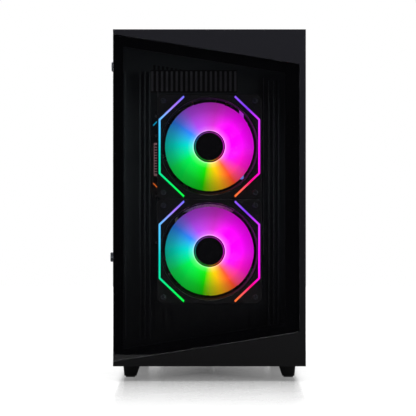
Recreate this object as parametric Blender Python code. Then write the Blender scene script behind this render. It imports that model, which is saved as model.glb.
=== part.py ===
"""Desktop computer tower: micro-ATX case with an angular glass front and two lit front fans.

Frame: +Z up, the front faces -Y, the glass side panel is on -X. Sizes below are in
millimetres and become metres in one place, mesh_object().
"""
import math

import bmesh
import bpy
from mathutils import Vector
from mathutils.geometry import delaunay_2d_cdt

MM = 0.001

# --- case ------------------------------------------------------------------------------
CASE_HALF_W = 109.0          # outer faces of the two sides
BASE_Z = 17.0                # underside of the case, the height of the feet
CASE_H = 381.0
TOP_Z = BASE_Z + CASE_H
FRONT_Y = -197.5             # face of the front glass and bezel
BEZEL_BACK_Y = -150.6
REAR_Y = 189.5               # outer face of the rear plate
STEEL = 1.2                  # sheet thickness
GAP = 0.3                    # clearance between neighbouring pieces
GLASS_T = 4.0
FRAME_FRONT_Y = -150.3       # front face of the steel front plate
SHIFT_X = 2.9                # puts the bounding box, screws included, on the origin

# --- front glass, edges given at the case sides ----------------------------------------
PANE_RIGHT = 101.8
PANE_TOP_L = BASE_Z + 375.8
PANE_TOP_R = BASE_Z + 341.7
PANE_BOT_L = BASE_Z + 5.7
PANE_BOT_R = BASE_Z + 39.0
BORDER_L = 11.1
BORDER_R = 15.9
BORDER_Z = 12.0

# --- 120 mm fans -----------------------------------------------------------------------
FAN = 120.0
FAN_T = 25.0
FAN_BORE_R = 56.0
FAN_TIP_R = 51.0
FAN_HUB_R = 18.0
FAN_Z = (BASE_Z + 249.3, BASE_Z + 129.5)
LED_SIDE = (57.9, 31.1)
LED_TIP = (29.5, 58.1)
LED_W = 2.2

# --- inside ----------------------------------------------------------------------------
TRAY_X = 86.0
BOARD_X = 78.0               # component face of the motherboard
BOARD = 244.0
BOARD_REAR_Y = 186.5
BOARD_TOP_Z = 376.0
DECK_Z = 117.0               # top deck of the power supply shroud
SLOT_Z = (206.0, 185.7, 165.4, 145.1)
CARD_Z = 208.0
PSU_X = (-68.0, 82.0)
PSU_Y = (47.0, 187.6)
PSU_Z = (20.0, 106.0)
PSU_FAN = (7.0, 117.0)
REAR_FAN = (-38.0, 312.0)
COOLER_FAN = (-26.0, 306.0)
SIDE_PANE_Z = (122.0, 395.2)
LOWER_PANEL_Z = (17.6, 121.4)
THUMB_R = 5.5
THUMB_HEAD = 4.2
SCREW_Y = (-141.0, 180.0)
SCREW_Z = (BASE_Z + 343.0, BASE_Z + 122.0)

BLACK = (0.012, 0.012, 0.014)
SATIN = (0.022, 0.022, 0.025)
DARK = (0.03, 0.03, 0.033)
ZINC = (0.45, 0.46, 0.48)


# --- helpers ---------------------------------------------------------------------------
for old in list(bpy.data.objects):
    bpy.data.objects.remove(old, do_unlink=True)

PARTS = bpy.data.collections.new("desktop_tower")
bpy.context.scene.collection.children.link(PARTS)


def mesh_object(name, verts, faces):
    """One mesh object from vertices in millimetres, faces turned outward."""
    bm = bmesh.new()
    made = [bm.verts.new(Vector(v) * MM) for v in verts]
    for face in faces:
        bm.faces.new([made[i] for i in face])
    bmesh.ops.recalc_face_normals(bm, faces=bm.faces)
    mesh = bpy.data.meshes.new(name)
    bm.to_mesh(mesh)
    bm.free()
    obj = bpy.data.objects.new(name, mesh)
    PARTS.objects.link(obj)
    return obj


def place(axis, u, v, w):
    """A point from in-plane u, v and the height w along the axis."""
    return {"X": (w, u, v), "Y": (u, w, v), "Z": (u, v, w)}[axis]


def inside(loop, u, v):
    """Whether the point lies inside the closed loop."""
    hit = False
    for (u0, v0), (u1, v1) in zip(loop, loop[1:] + loop[:1]):
        if (v0 > v) != (v1 > v) and u < (u1 - u0) * (v - v0) / (v1 - v0) + u0:
            hit = not hit
    return hit


def fill(loops):
    """Triangles, as indices into the joined loops, between the first loop and the holes."""
    flat = [p for loop in loops for p in loop]
    edges = []
    start = 0
    for loop in loops:
        n = len(loop)
        edges += [(start + i, start + (i + 1) % n) for i in range(n)]
        start += n
    _, _, tris, origin, _, _ = delaunay_2d_cdt([Vector(p) for p in flat], edges, [], 0, 0.00001)
    kept = []
    for tri in tris:
        ids = [origin[i][0] for i in tri]
        u = sum(flat[i][0] for i in ids) / 3
        v = sum(flat[i][1] for i in ids) / 3
        if inside(loops[0], u, v) and not any(inside(hole, u, v) for hole in loops[1:]):
            kept.append(ids)
    return kept


def slab(name, axis, lo, hi, outer, holes=()):
    """A flat plate normal to the axis, with through holes."""
    loops = [list(outer)] + [list(h) for h in holes]
    flat = [p for loop in loops for p in loop]
    count = len(flat)
    verts = [place(axis, u, v, lo) for u, v in flat] + [place(axis, u, v, hi) for u, v in flat]
    faces = []
    for tri in fill(loops):
        faces.append(tuple(tri))
        faces.append(tuple(i + count for i in reversed(tri)))
    start = 0
    for loop in loops:
        n = len(loop)
        for i in range(n):
            a = start + i
            b = start + (i + 1) % n
            faces.append((a, b, b + count, a + count))
        start += n
    return mesh_object(name, verts, faces)


def rect(u0, u1, v0, v1):
    return [(u0, v0), (u1, v0), (u1, v1), (u0, v1)]


def round_rect(u0, u1, v0, v1, r, steps=3):
    pts = []
    corners = ((u1 - r, v1 - r, 0), (u0 + r, v1 - r, 90), (u0 + r, v0 + r, 180), (u1 - r, v0 + r, 270))
    for cu, cv, start in corners:
        for i in range(steps + 1):
            a = math.radians(start + 90.0 * i / steps)
            pts.append((cu + r * math.cos(a), cv + r * math.sin(a)))
    return pts


def circle(cu, cv, r, n=24, turn=0.0):
    step = 2 * math.pi / n
    return [(cu + r * math.cos(turn + i * step), cv + r * math.sin(turn + i * step)) for i in range(n)]


def box(name, x0, x1, y0, y1, z0, z1):
    return slab(name, "Z", z0, z1, rect(x0, x1, y0, y1))


def combine(target, operation, others):
    """Boolean the others into the target and keep the plain result."""
    for other in others:
        mod = target.modifiers.new("join", "BOOLEAN")
        mod.operation = operation
        mod.solver = "EXACT"
        mod.object = other
    graph = bpy.context.evaluated_depsgraph_get()
    mesh = bpy.data.meshes.new_from_object(target.evaluated_get(graph))
    target.modifiers.clear()
    target.data = mesh
    for other in others:
        bpy.data.objects.remove(other, do_unlink=True)
    bm = bmesh.new()
    bm.from_mesh(mesh)
    bmesh.ops.remove_doubles(bm, verts=bm.verts, dist=0.000002)
    bmesh.ops.dissolve_limit(bm, angle_limit=0.002, verts=bm.verts, edges=bm.edges)
    bmesh.ops.triangulate(bm, faces=bm.faces)
    bm.to_mesh(mesh)
    bm.free()
    return target


def union(target, *others):
    return combine(target, "UNION", others)


def cut(target, *others):
    return combine(target, "DIFFERENCE", others)


def finish(obj, colour, rough=0.5, metal=0.0, pivot=None):
    """Give the piece its material and put its origin on the pivot or at its middle."""
    mat = bpy.data.materials.new(obj.name)
    mat.use_nodes = True
    shader = mat.node_tree.nodes["Principled BSDF"]
    shader.inputs["Base Color"].default_value = (*colour, 1.0)
    shader.inputs["Roughness"].default_value = rough
    shader.inputs["Metallic"].default_value = metal
    obj.data.materials.clear()
    obj.data.materials.append(mat)
    if pivot is None:
        xs, ys, zs = zip(*(v.co for v in obj.data.vertices))
        at = Vector(((min(xs) + max(xs)) / 2, (min(ys) + max(ys)) / 2, (min(zs) + max(zs)) / 2))
    else:
        at = Vector(pivot) * MM
    for vert in obj.data.vertices:
        vert.co -= at
    obj.location = at
    return obj


def pane_edge(x, left_z, right_z):
    """Height of a sloping pane edge at x."""
    t = (x + CASE_HALF_W) / (PANE_RIGHT + CASE_HALF_W)
    return left_z + (right_z - left_z) * t


def rotor(name, centre, axis, hub_r, tip_r, hub, blade, blades, colour, sweep=36.0, turn=1):
    """Hub with swept blades; hub and blade are (low, high) along the axis from the centre."""
    cu, cv, cw = {"Y": (centre[0], centre[2], centre[1]), "Z": centre}[axis]
    body = slab(name, axis, cw + hub[0], cw + hub[1], circle(cu, cv, hub_r, 20))
    verts = []
    faces = []
    stations = 4
    half_t = 0.7
    for k in range(blades):
        middle = 2 * math.pi * k / blades
        base = len(verts)
        for s in range(stations):
            f = s / (stations - 1)
            r = hub_r - 2.0 + (tip_r - hub_r + 2.0) * f
            lean = math.radians(14.0) * f * turn
            half = math.radians(sweep / 2)
            for side in (-1, 1):
                a = middle + lean + side * half * turn
                w = (blade[0] if side < 0 else blade[1]) * (1.0 - 0.12 * f)
                for layer in (-half_t, half_t):
                    u = cu + r * math.cos(a)
                    v = cv + r * math.sin(a)
                    verts.append(place(axis, u, v, cw + w + layer))
            if s:
                p = base + 4 * (s - 1)
                q = p + 4
                faces += [(p, p + 1, q + 1, q), (p + 3, p + 2, q + 2, q + 3)]
                faces += [(p + 1, p + 3, q + 3), (p + 1, q + 3, q + 1)]
                faces += [(p, p + 2, q + 2), (p, q + 2, q)]
        end = base + 4 * (stations - 1)
        faces += [(base, base + 2, base + 3, base + 1), (end, end + 1, end + 3, end + 2)]
    wings = mesh_object(name + "_blades", verts, faces)
    union(body, wings)
    return finish(body, colour, 0.4, 0.0, centre)


def spider_holes(cu, cv, r_in, r_out, arm, n_arms=4, turn=45.0, steps=5):
    """The openings between the motor disc and the rim, with arms between them."""
    holes = []
    for k in range(n_arms):
        start = math.radians(turn + 360.0 / n_arms * k)
        stop = start + 2 * math.pi / n_arms
        loop = []
        for r, direction in ((r_out, 1), (r_in, -1)):
            trim = math.asin(arm / 2 / r)
            a0 = start + trim
            a1 = stop - trim
            for i in range(steps + 1):
                f = i / steps if direction > 0 else 1 - i / steps
                a = a0 + (a1 - a0) * f
                loop.append((cu + r * math.cos(a), cv + r * math.sin(a)))
        holes.append(loop)
    return holes


def fan_frame(name, axis, centre, lo, hi, size, bore, spider_low, colour):
    """Square fan frame with the motor's arms at one end of its depth."""
    cu, cv = centre
    half = size / 2
    outline = round_rect(cu - half, cu + half, cv - half, cv + half, 6.0, 2)
    body = slab(name, axis, lo, hi, outline, [circle(cu, cv, bore, 24)])
    a, b = (lo, lo + 3.0) if spider_low else (hi - 3.0, hi)
    arms = slab(name + "_arms", axis, a, b, circle(cu, cv, bore + 1.0, 24),
                spider_holes(cu, cv, 19.0, bore - 1.0, 5.0))
    union(body, arms)
    return finish(body, colour, 0.45)


# --- feet ------------------------------------------------------------------------------
FOOT_TOP = (79.5, 100.0)
FOOT_BOT = (84.5, 98.7)
for side, sx in (("left", -1), ("right", 1)):
    for end, fy in (("front", -134.0), ("rear", 165.0)):
        top = rect(min(sx * FOOT_TOP[0], sx * FOOT_TOP[1]), max(sx * FOOT_TOP[0], sx * FOOT_TOP[1]),
                   fy - 15.0, fy + 15.0)
        bottom = rect(min(sx * FOOT_BOT[0], sx * FOOT_BOT[1]), max(sx * FOOT_BOT[0], sx * FOOT_BOT[1]),
                      fy - 12.5, fy + 12.5)
        verts = [(x, y, 0.0) for x, y in bottom] + [(x, y, BASE_Z - GAP) for x, y in top]
        quads = [(0, 1, 2, 3), (4, 5, 6, 7)] + [(i, (i + 1) % 4, (i + 1) % 4 + 4, i + 4) for i in range(4)]
        finish(mesh_object(f"foot_{end}_{side}", verts, quads), BLACK, 0.8)

# --- steel chassis ---------------------------------------------------------------------
INNER_W = CASE_HALF_W - STEEL - GAP          # 107.5, the chassis half width
floor = slab("chassis_floor", "Z", BASE_Z, BASE_Z + STEEL,
             rect(-INNER_W, INNER_W, FRAME_FRONT_Y, REAR_Y),
             spider_holes(PSU_FAN[0], PSU_FAN[1], 14.0, 58.0, 6.0)
             + [rect(x, x + 6.0, -115.0, -35.0) for x in range(-60, 60, 12)])
finish(floor, SATIN, 0.5, 0.6)

top_holes = [rect(x, x + 5.0, y, y + 122.0) for x in range(-60, 60, 14) for y in (-92.0, 36.0)]
PORT_X = (-62.0, 62.0)
PORT_Y = (-145.0, -123.0)
roof = slab("chassis_top", "Z", TOP_Z - 2.6, TOP_Z - 1.4,
            rect(-INNER_W, INNER_W, FRAME_FRONT_Y, REAR_Y),
            top_holes + [rect(PORT_X[0] - GAP, PORT_X[1] + GAP, PORT_Y[0] - GAP, PORT_Y[1] + GAP)])
finish(roof, SATIN, 0.5, 0.6)

# The front plate: two fan openings, and upright slots above them that end on a slope.
SLOT_PITCH = 5.0
front_slots = []
for i in range(20):
    x = -65.0 + SLOT_PITCH * i
    high = pane_edge(x, PANE_TOP_L, PANE_TOP_R) - 24.0
    front_slots.append([(x, BASE_Z + 313.5), (x + 2.6, BASE_Z + 313.5), (x + 2.6, high), (x, high)])
front_slots += [rect(x, x + 2.6, BASE_Z + 38.0, BASE_Z + 62.0) for x in range(-65, 66, 10)]
PLATE_LO_Z = BASE_Z + STEEL + GAP
PLATE_HI_Z = TOP_Z - 2.6 - GAP
plate = slab("chassis_front", "Y", FRAME_FRONT_Y, FRAME_FRONT_Y + STEEL,
             rect(-104.0, INNER_W, PLATE_LO_Z, PLATE_HI_Z),
             [circle(0.0, z, FAN_BORE_R, 24) for z in FAN_Z] + front_slots)
flange = slab("flange", "X", -104.0, -104.0 + STEEL,
              rect(FRAME_FRONT_Y + 0.2, FRAME_FRONT_Y + 18.0, PLATE_LO_Z, PLATE_HI_Z),
              [circle(SCREW_Y[0], z, 2.6, 10) for z in SCREW_Z])
union(plate, flange)
finish(plate, SATIN, 0.5, 0.6)

# The rear plate: fan grille, connector window, card slots and the power supply window.
REAR_LO = REAR_Y - STEEL
IO_X = (36.0, 80.5)
IO_Z = (217.0, 374.0)
CARD_X = (-36.0, 74.0)
rear_holes = []
for k in range(-5, 6):
    half = math.sqrt(54.0 ** 2 - (9.6 * k) ** 2)
    rear_holes.append(rect(REAR_FAN[0] - half, REAR_FAN[0] + half,
                           REAR_FAN[1] + 9.6 * k - 3.4, REAR_FAN[1] + 9.6 * k + 3.4))
rear_holes.append(rect(*IO_X, *IO_Z))
rear_holes.append(rect(CARD_X[0], CARD_X[1], SLOT_Z[1] - 7.0, SLOT_Z[0] + 7.0))
for z in SLOT_Z[2:]:
    rear_holes += [rect(x, x + 14.0, z - 2.5, z + 2.5) for x in (-28.0, -4.0, 20.0, 44.0)]
rear_holes.append(rect(PSU_X[0] + 4.0, PSU_X[1] - 4.0, PSU_Z[0] + 4.0, PSU_Z[1] - 4.0))
rear_holes += [rect(x, x + 6.0, 222.0, 242.0) for x in range(-90, 20, 18)]
rear = slab("chassis_rear", "Y", REAR_LO, REAR_Y,
            rect(-104.0, INNER_W, PLATE_LO_Z, PLATE_HI_Z), rear_holes
            + [circle(101.0, z, 2.6, 10) for z in SCREW_Z])
rear_flange = slab("flange", "X", -104.0, -104.0 + STEEL,
                   rect(REAR_LO - 18.0, REAR_LO + 0.2, PLATE_LO_Z, PLATE_HI_Z),
                   [circle(SCREW_Y[1], z, 2.6, 10) for z in SCREW_Z])
union(rear, rear_flange)
finish(rear, SATIN, 0.5, 0.6)

# The motherboard tray stands between the front and rear plates.
INSIDE_FRONT = FRAME_FRONT_Y + STEEL + GAP
INSIDE_REAR = REAR_LO - GAP
tray_holes = [
    round_rect(-82.0, -64.0, 262.0, 332.0, 5.0, 2),
    round_rect(-82.0, -64.0, 150.0, 220.0, 5.0, 2),
    round_rect(86.0, 146.0, 268.0, 344.0, 5.0, 2),
    rect(-100.0, 40.0, 30.0, 104.0),
]
tray = slab("motherboard_tray", "X", TRAY_X, TRAY_X + STEEL,
            rect(INSIDE_FRONT, INSIDE_REAR, PLATE_LO_Z, PLATE_HI_Z), tray_holes)
finish(tray, SATIN, 0.5, 0.6)

# The shroud over the power supply: deck and left wall in one bend.
SHROUD_X = -102.2
deck = slab("psu_shroud", "Z", DECK_Z, DECK_Z + STEEL,
            rect(SHROUD_X, TRAY_X - GAP, INSIDE_FRONT, INSIDE_REAR),
            [round_rect(-70.0, -20.0, -80.0, -58.0, 4.0, 2)]
            + [rect(x, x + 6.0, 60.0, 160.0) for x in range(-40, 60, 12)])
wall = box("wall", SHROUD_X, SHROUD_X + STEEL, INSIDE_FRONT, INSIDE_REAR, PLATE_LO_Z, DECK_Z + 0.2)
union(deck, wall)
finish(deck, SATIN, 0.5, 0.6)

lower = slab("lower_side_panel", "X", -CASE_HALF_W, -CASE_HALF_W + STEEL,
             rect(FRAME_FRONT_Y, REAR_Y, *LOWER_PANEL_Z),
             [rect(y, y + 3.0, 42.0, 94.0) for y in range(-120, -30, 8)])
finish(lower, SATIN, 0.5, 0.6)

# --- front bezel and glass -------------------------------------------------------------
top_at_right = pane_edge(CASE_HALF_W, PANE_TOP_L, PANE_TOP_R)
bot_at_right = pane_edge(CASE_HALF_W, PANE_BOT_L, PANE_BOT_R)
SEAT = 0.4                   # clearance between the glass edge and the bezel's recess


def pane_outline(grow):
    """The pane's outline, its two right corners rounded, grown by a margin."""
    right = PANE_RIGHT + grow
    radius = 3.5
    pts = [(-CASE_HALF_W, pane_edge(-CASE_HALF_W, PANE_BOT_L, PANE_BOT_R) - grow)]
    low = pane_edge(right, PANE_BOT_L, PANE_BOT_R) - grow
    high = pane_edge(right, PANE_TOP_L, PANE_TOP_R) + grow
    pts += [(right - radius, low - 0.16 * radius), (right - 0.3 * radius, low + 0.3 * radius),
            (right, low + radius), (right, high - radius),
            (right - 0.3 * radius, high - 0.3 * radius), (right - radius, high + 0.16 * radius)]
    pts.append((-CASE_HALF_W, pane_edge(-CASE_HALF_W, PANE_TOP_L, PANE_TOP_R) + grow))
    return pts


PANE_BACK = FRONT_Y + GLASS_T
FLANGE_Y = (PANE_BACK + GAP, PANE_BACK + GAP + 2.5)
pane = pane_outline(0.0)
finish(slab("front_glass", "Y", FRONT_Y, PANE_BACK, pane), (0.02, 0.02, 0.025), 0.05)

seat = pane_outline(SEAT)
face_outline = [(-CASE_HALF_W, BASE_Z), (CASE_HALF_W, BASE_Z), (CASE_HALF_W, TOP_Z), (-CASE_HALF_W, TOP_Z)]
face_outline += list(reversed(seat))
face = slab("front_bezel", "Y", FRONT_Y, FLANGE_Y[0] + 0.2, face_outline)
opening = [(-CASE_HALF_W + BORDER_L, pane_edge(-98.0, PANE_BOT_L, PANE_BOT_R) + BORDER_Z),
           (PANE_RIGHT - BORDER_R, pane_edge(86.0, PANE_BOT_L, PANE_BOT_R) + BORDER_Z),
           (PANE_RIGHT - BORDER_R, pane_edge(86.0, PANE_TOP_L, PANE_TOP_R) - BORDER_Z),
           (-CASE_HALF_W + BORDER_L, pane_edge(-98.0, PANE_TOP_L, PANE_TOP_R) - BORDER_Z)]
case_rect = rect(-CASE_HALF_W, CASE_HALF_W, BASE_Z, TOP_Z)
ledge = slab("ledge", "Y", FLANGE_Y[0], FLANGE_Y[1], case_rect, [opening])
WALL = 2.6
walls = slab("walls", "Y", FLANGE_Y[1] - 0.2, BEZEL_BACK_Y, case_rect,
             [rect(-CASE_HALF_W + WALL, CASE_HALF_W - WALL, BASE_Z + WALL, TOP_Z - WALL)])
union(face, ledge, walls)
vents = []
for k in range(12):
    z = BASE_Z + 62.0 + 22.0 * k
    vents.append(box("vent", -CASE_HALF_W - 5, -CASE_HALF_W + 5, -184.0, -162.0, z, z + 9.0))
    vents.append(box("vent", CASE_HALF_W - 5, CASE_HALF_W + 5, -184.0, -162.0, z, z + 9.0))
cut(face, *vents)
finish(face, SATIN, 0.45)

# --- front fans ------------------------------------------------------------------------
FAN_FRONT_Y = FRAME_FRONT_Y - GAP - FAN_T
for place_name, z in zip(("upper", "lower"), FAN_Z):
    body = fan_frame(f"front_fan_{place_name}_frame", "Y", (0.0, z), FAN_FRONT_Y,
                     FAN_FRONT_Y + FAN_T, FAN - 0.4, FAN_BORE_R, False, BLACK)
    rotor(f"front_fan_{place_name}_rotor", (0.0, FAN_FRONT_Y + 11.0, z), "Y",
          FAN_HUB_R, FAN_TIP_R, (-9.0, 10.0), (-7.5, 7.5), 9, (0.6, 0.6, 0.62))
    for side, sx in (("left", -1), ("right", 1)):
        outer = [(LED_TIP[0], LED_TIP[1]), LED_SIDE, (LED_SIDE[0], -LED_SIDE[1]), (LED_TIP[0], -LED_TIP[1])]
        inner = [(LED_TIP[0], LED_TIP[1] - LED_W * 1.41), (LED_SIDE[0] - LED_W, LED_SIDE[1] - LED_W * 0.42),
                 (LED_SIDE[0] - LED_W, -LED_SIDE[1] + LED_W * 0.42), (LED_TIP[0], -LED_TIP[1] + LED_W * 1.41)]
        loop = [(sx * u, z + v) for u, v in outer + inner[::-1]]
        strip = slab(f"fan_light_{place_name}_{side}", "Y", FAN_FRONT_Y - GAP - 2.0, FAN_FRONT_Y - GAP, loop)
        finish(strip, (0.7, 0.7, 0.75), 0.4)

# --- rear fan --------------------------------------------------------------------------
REAR_FAN_Y = REAR_LO - GAP - FAN_T
fan_frame("rear_fan_frame", "Y", REAR_FAN, REAR_FAN_Y, REAR_FAN_Y + FAN_T, FAN - 0.4, 57.0, True, BLACK)
rotor("rear_fan_rotor", (REAR_FAN[0], REAR_FAN_Y + 14.0, REAR_FAN[1]), "Y", 19.0, 53.0,
      (-10.0, 9.0), (-7.5, 7.5), 7, DARK, 44.0)

# --- motherboard and what it carries ---------------------------------------------------
BOARD_Z = (BOARD_TOP_Z - BOARD, BOARD_TOP_Z)
BOARD_Y = (BOARD_REAR_Y - BOARD, BOARD_REAR_Y)
board = slab("motherboard", "X", BOARD_X, BOARD_X + 1.6, rect(*BOARD_Y, *BOARD_Z),
             [circle(y, z, 2.0, 8) for y in (BOARD_Y[0] + 6.0, 40.0, 166.0)
              for z in (BOARD_Z[0] + 10.0, 218.0, BOARD_Z[1] - 6.0)])
standoffs = [slab("standoff", "X", BOARD_X + 1.4, TRAY_X - GAP, circle(y, z, 3.2, 8))
             for y in (BOARD_Y[0] + 6.0, 166.0) for z in (BOARD_Z[0] + 10.0, BOARD_Z[1] - 6.0)]
union(board, *standoffs)
finish(board, (0.02, 0.022, 0.024), 0.55)


def comb(name, axis, lo, hi, u0, u1, base, tip, spine, fins, fin_w):
    """Heatsink profile: a spine with fins from base to tip, drawn along the axis."""
    sign = 1 if tip > base else -1
    pts = [(u0, base), (u1, base)]
    pitch = (u1 - u0 - fin_w) / (fins - 1)
    for k in range(fins):
        a = u1 - k * pitch
        b = a - fin_w
        pts += [(a, tip), (b, tip)]
        if k < fins - 1:
            pts += [(b, base + sign * spine), (b - pitch + fin_w, base + sign * spine)]
    return slab(name, axis, lo, hi, pts)


PART_X = BOARD_X - GAP
vrm = comb("vrm_heatsink", "Z", 262.0, 356.0, 136.0, 158.0, PART_X - 3.0, PART_X - 30.0, 5.0, 6, 2.0)
pad = box("pad", PART_X - 3.2, PART_X, 138.0, 156.0, 264.0, 354.0)
# comb() draws in the (u, v) plane as (y, x); swap the two for this upright sink.
for v in vrm.data.vertices:
    v.co.x, v.co.y = v.co.y, v.co.x
bm = bmesh.new()
bm.from_mesh(vrm.data)
bmesh.ops.recalc_face_normals(bm, faces=bm.faces)
bm.to_mesh(vrm.data)
bm.free()
union(vrm, pad)
finish(vrm, (0.05, 0.05, 0.055), 0.4, 0.7)

chip = box("chipset_heatsink", PART_X - 9.0, PART_X, -42.0, 2.0, 146.0, 190.0)
finish(cut(chip, *[box("groove", PART_X - 10.0, PART_X - 5.0, y, y + 3.0, 140.0, 196.0)
                   for y in (-34.0, -25.5, -17.0, -8.5)]), (0.05, 0.05, 0.055), 0.4, 0.7)

# Rear connectors: one block with the port recesses, its face in the window of the rear plate.
IO_FACE = REAR_Y - 0.4
io = slab("rear_port_block", "Y", 160.0, IO_FACE, rect(IO_X[0] + 4.0, PART_X, IO_Z[0] + 3.0, IO_Z[1] - 3.0))
lip = slab("lip", "Y", IO_FACE - 1.4, IO_FACE - 0.2, rect(IO_X[0] + GAP, IO_X[1] - GAP,
                                                      IO_Z[0] + GAP, IO_Z[1] - GAP))
recess = []
for z in (226.0, 248.0, 270.0, 292.0):
    for x in (58.0, 67.0):
        recess.append(box("usb", x, x + 6.0, 178.0, 195.0, z, z + 13.0))
recess.append(box("lan", 57.0, 71.0, 176.0, 195.0, 313.0, 325.0))
recess.append(box("video", 60.0, 66.0, 180.0, 195.0, 330.0, 345.0))
for z in (350.0, 360.0):
    for x in (56.0, 68.0):
        recess.append(slab("jack", "Y", 178.0, 195.0, circle(x + 2.0, z + 3.0, 1.9, 8)))
union(io, lip)
cut(io, *recess)
tongues = [box("tongue", x + 2.0, x + 4.0, 176.0, 187.0, z + 1.0, z + 12.0)
           for z in (226.0, 248.0, 270.0, 292.0) for x in (58.0, 67.0)]
union(io, *tongues, box("tongue", 62.0, 64.0, 178.0, 187.0, 332.0, 343.0))
finish(io, ZINC, 0.4, 0.8)

MEM_Y = (-6.0, 3.6, 13.2, 22.8)
MEM_Z = (226.0, 362.0)
sockets = box("memory_sockets", PART_X - 1.5, PART_X, MEM_Y[0] - 3.5, MEM_Y[3] + 3.5, *MEM_Z)
union(sockets, *[box("socket", PART_X - 8.0, PART_X - 1.0, y - 3.2, y + 3.2, MEM_Z[0] + 1, MEM_Z[1] - 1)
                 for y in MEM_Y])
cut(sockets, *[box("slot", PART_X - 9.0, PART_X - 4.0, y - 1.5, y + 1.5, MEM_Z[0] + 4, MEM_Z[1] - 4)
               for y in MEM_Y])
finish(sockets, BLACK, 0.5)
for name, y in (("memory_module_1", MEM_Y[1]), ("memory_module_2", MEM_Y[3])):
    stick = box(name, PART_X - 36.0, PART_X - 4.3, y - 0.7, y + 0.7, MEM_Z[0] + 4.5, MEM_Z[1] - 4.5)
    spreader = box("spreader", PART_X - 40.0, PART_X - 9.0, y - 3.4, y + 3.4, MEM_Z[0] + 5.0, MEM_Z[1] - 5.0)
    union(stick, spreader)
    finish(stick, (0.03, 0.03, 0.034), 0.35, 0.6)

slot = box("expansion_slot", PART_X - 11.0, PART_X, 68.0, 158.0, CARD_Z - 3.8, CARD_Z + 5.4)
finish(cut(slot, box("slit", PART_X - 12.0, PART_X - 2.5, 70.0, 156.0, CARD_Z - 0.4, CARD_Z + 2.0)), BLACK, 0.5)

# Processor cooler: base on the processor, a stack of fins, and its fan in front of the fins.
FIN_X = (-80.0, 22.0)
sink = comb("cpu_cooler", "Z", 250.0, 362.0, FIN_X[0], FIN_X[1], 138.0, 90.0, 3.0, 17, 1.6)
stem = box("stem", FIN_X[1] - 1.0, PART_X, 94.0, 134.0, 286.0, 326.0)
union(sink, stem)
finish(sink, (0.5, 0.5, 0.52), 0.35, 0.9)
COOLER_FAN_Y = 64.5
fan_frame("cooler_fan_frame", "Y", COOLER_FAN, COOLER_FAN_Y, COOLER_FAN_Y + FAN_T, FAN - 0.4, 57.0, False, BLACK)
rotor("cooler_fan_rotor", (COOLER_FAN[0], COOLER_FAN_Y + 11.0, COOLER_FAN[1]), "Y", 19.0, 53.0,
      (-9.0, 10.0), (-7.5, 7.5), 7, DARK, 44.0)

# --- graphics card ---------------------------------------------------------------------
CARD_Y = (-46.0, 184.0)
card = box("graphics_board", -38.0, PART_X - 11.6, CARD_Y[0], CARD_Y[1], CARD_Z, CARD_Z + 1.6)
edge = box("edge", PART_X - 12.0, PART_X - 3.0, 71.0, 155.0, CARD_Z, CARD_Z + 1.6)
bracket = slab("bracket", "Y", CARD_Y[1] - 0.2, CARD_Y[1] + 1.0,
               rect(CARD_X[0] - 4.0, CARD_X[1] - 2.0, SLOT_Z[1] - 8.5, SLOT_Z[0] + 8.5),
               [rect(x, x + 3.0, SLOT_Z[1] - 5.0, SLOT_Z[1] + 9.0) for x in range(-28, 60, 8)])
ports = [box("port", x, x + 17.0, CARD_Y[1] - 12.0, REAR_Y - 0.6, CARD_Z - 6.0, CARD_Z + 0.2)
         for x in (-28.0, -4.0, 20.0, 44.0)]
union(card, edge, bracket, *ports)
cut(card, *[box("mouth", x + 2.0, x + 15.0, REAR_Y - 8.0, REAR_Y + 2.0, CARD_Z - 4.6, CARD_Z - 1.4)
            for x in (-28.0, -4.0, 20.0, 44.0)])
finish(card, (0.02, 0.03, 0.025), 0.5)

GPU_SINK_Z = (CARD_Z - GAP, CARD_Z - 17.0)
gpu_sink = comb("graphics_heatsink", "Y", CARD_Y[0] + 6.0, CARD_Y[1] - 14.0, -32.0, 58.0,
                GPU_SINK_Z[0], GPU_SINK_Z[1], 4.0, 12, 2.0)
finish(gpu_sink, (0.5, 0.5, 0.52), 0.35, 0.9)
GPU_FAN_Y = (12.0, 110.0)
GPU_FAN_X = 13.0
shroud_z = (CARD_Z - 38.0, CARD_Z - 17.6)
cover = slab("graphics_shroud", "Z", *shroud_z,
             [(-38.0, CARD_Y[0] - 4.0), (56.0, CARD_Y[0] - 4.0), (64.0, CARD_Y[0] + 6.0), (64.0, CARD_Y[1] - 2.0),
              (-38.0, CARD_Y[1] - 2.0), (-42.0, CARD_Y[1] - 20.0), (-42.0, CARD_Y[0] + 10.0)],
             [circle(GPU_FAN_X, y, 44.0, 24) for y in GPU_FAN_Y])
for y in GPU_FAN_Y:
    arms = slab("arms", "Z", shroud_z[1] - 2.5, shroud_z[1], circle(GPU_FAN_X, y, 45.0, 24),
                spider_holes(GPU_FAN_X, y, 14.0, 43.0, 5.0))
    union(cover, arms)
finish(cover, BLACK, 0.4)
for k, y in enumerate(GPU_FAN_Y):
    rotor(f"graphics_fan_{k + 1}", (GPU_FAN_X, y, shroud_z[0] + 9.0), "Z", 14.0, 42.0,
          (-8.0, 8.5), (-6.0, 6.0), 9, DARK, 34.0)

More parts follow.
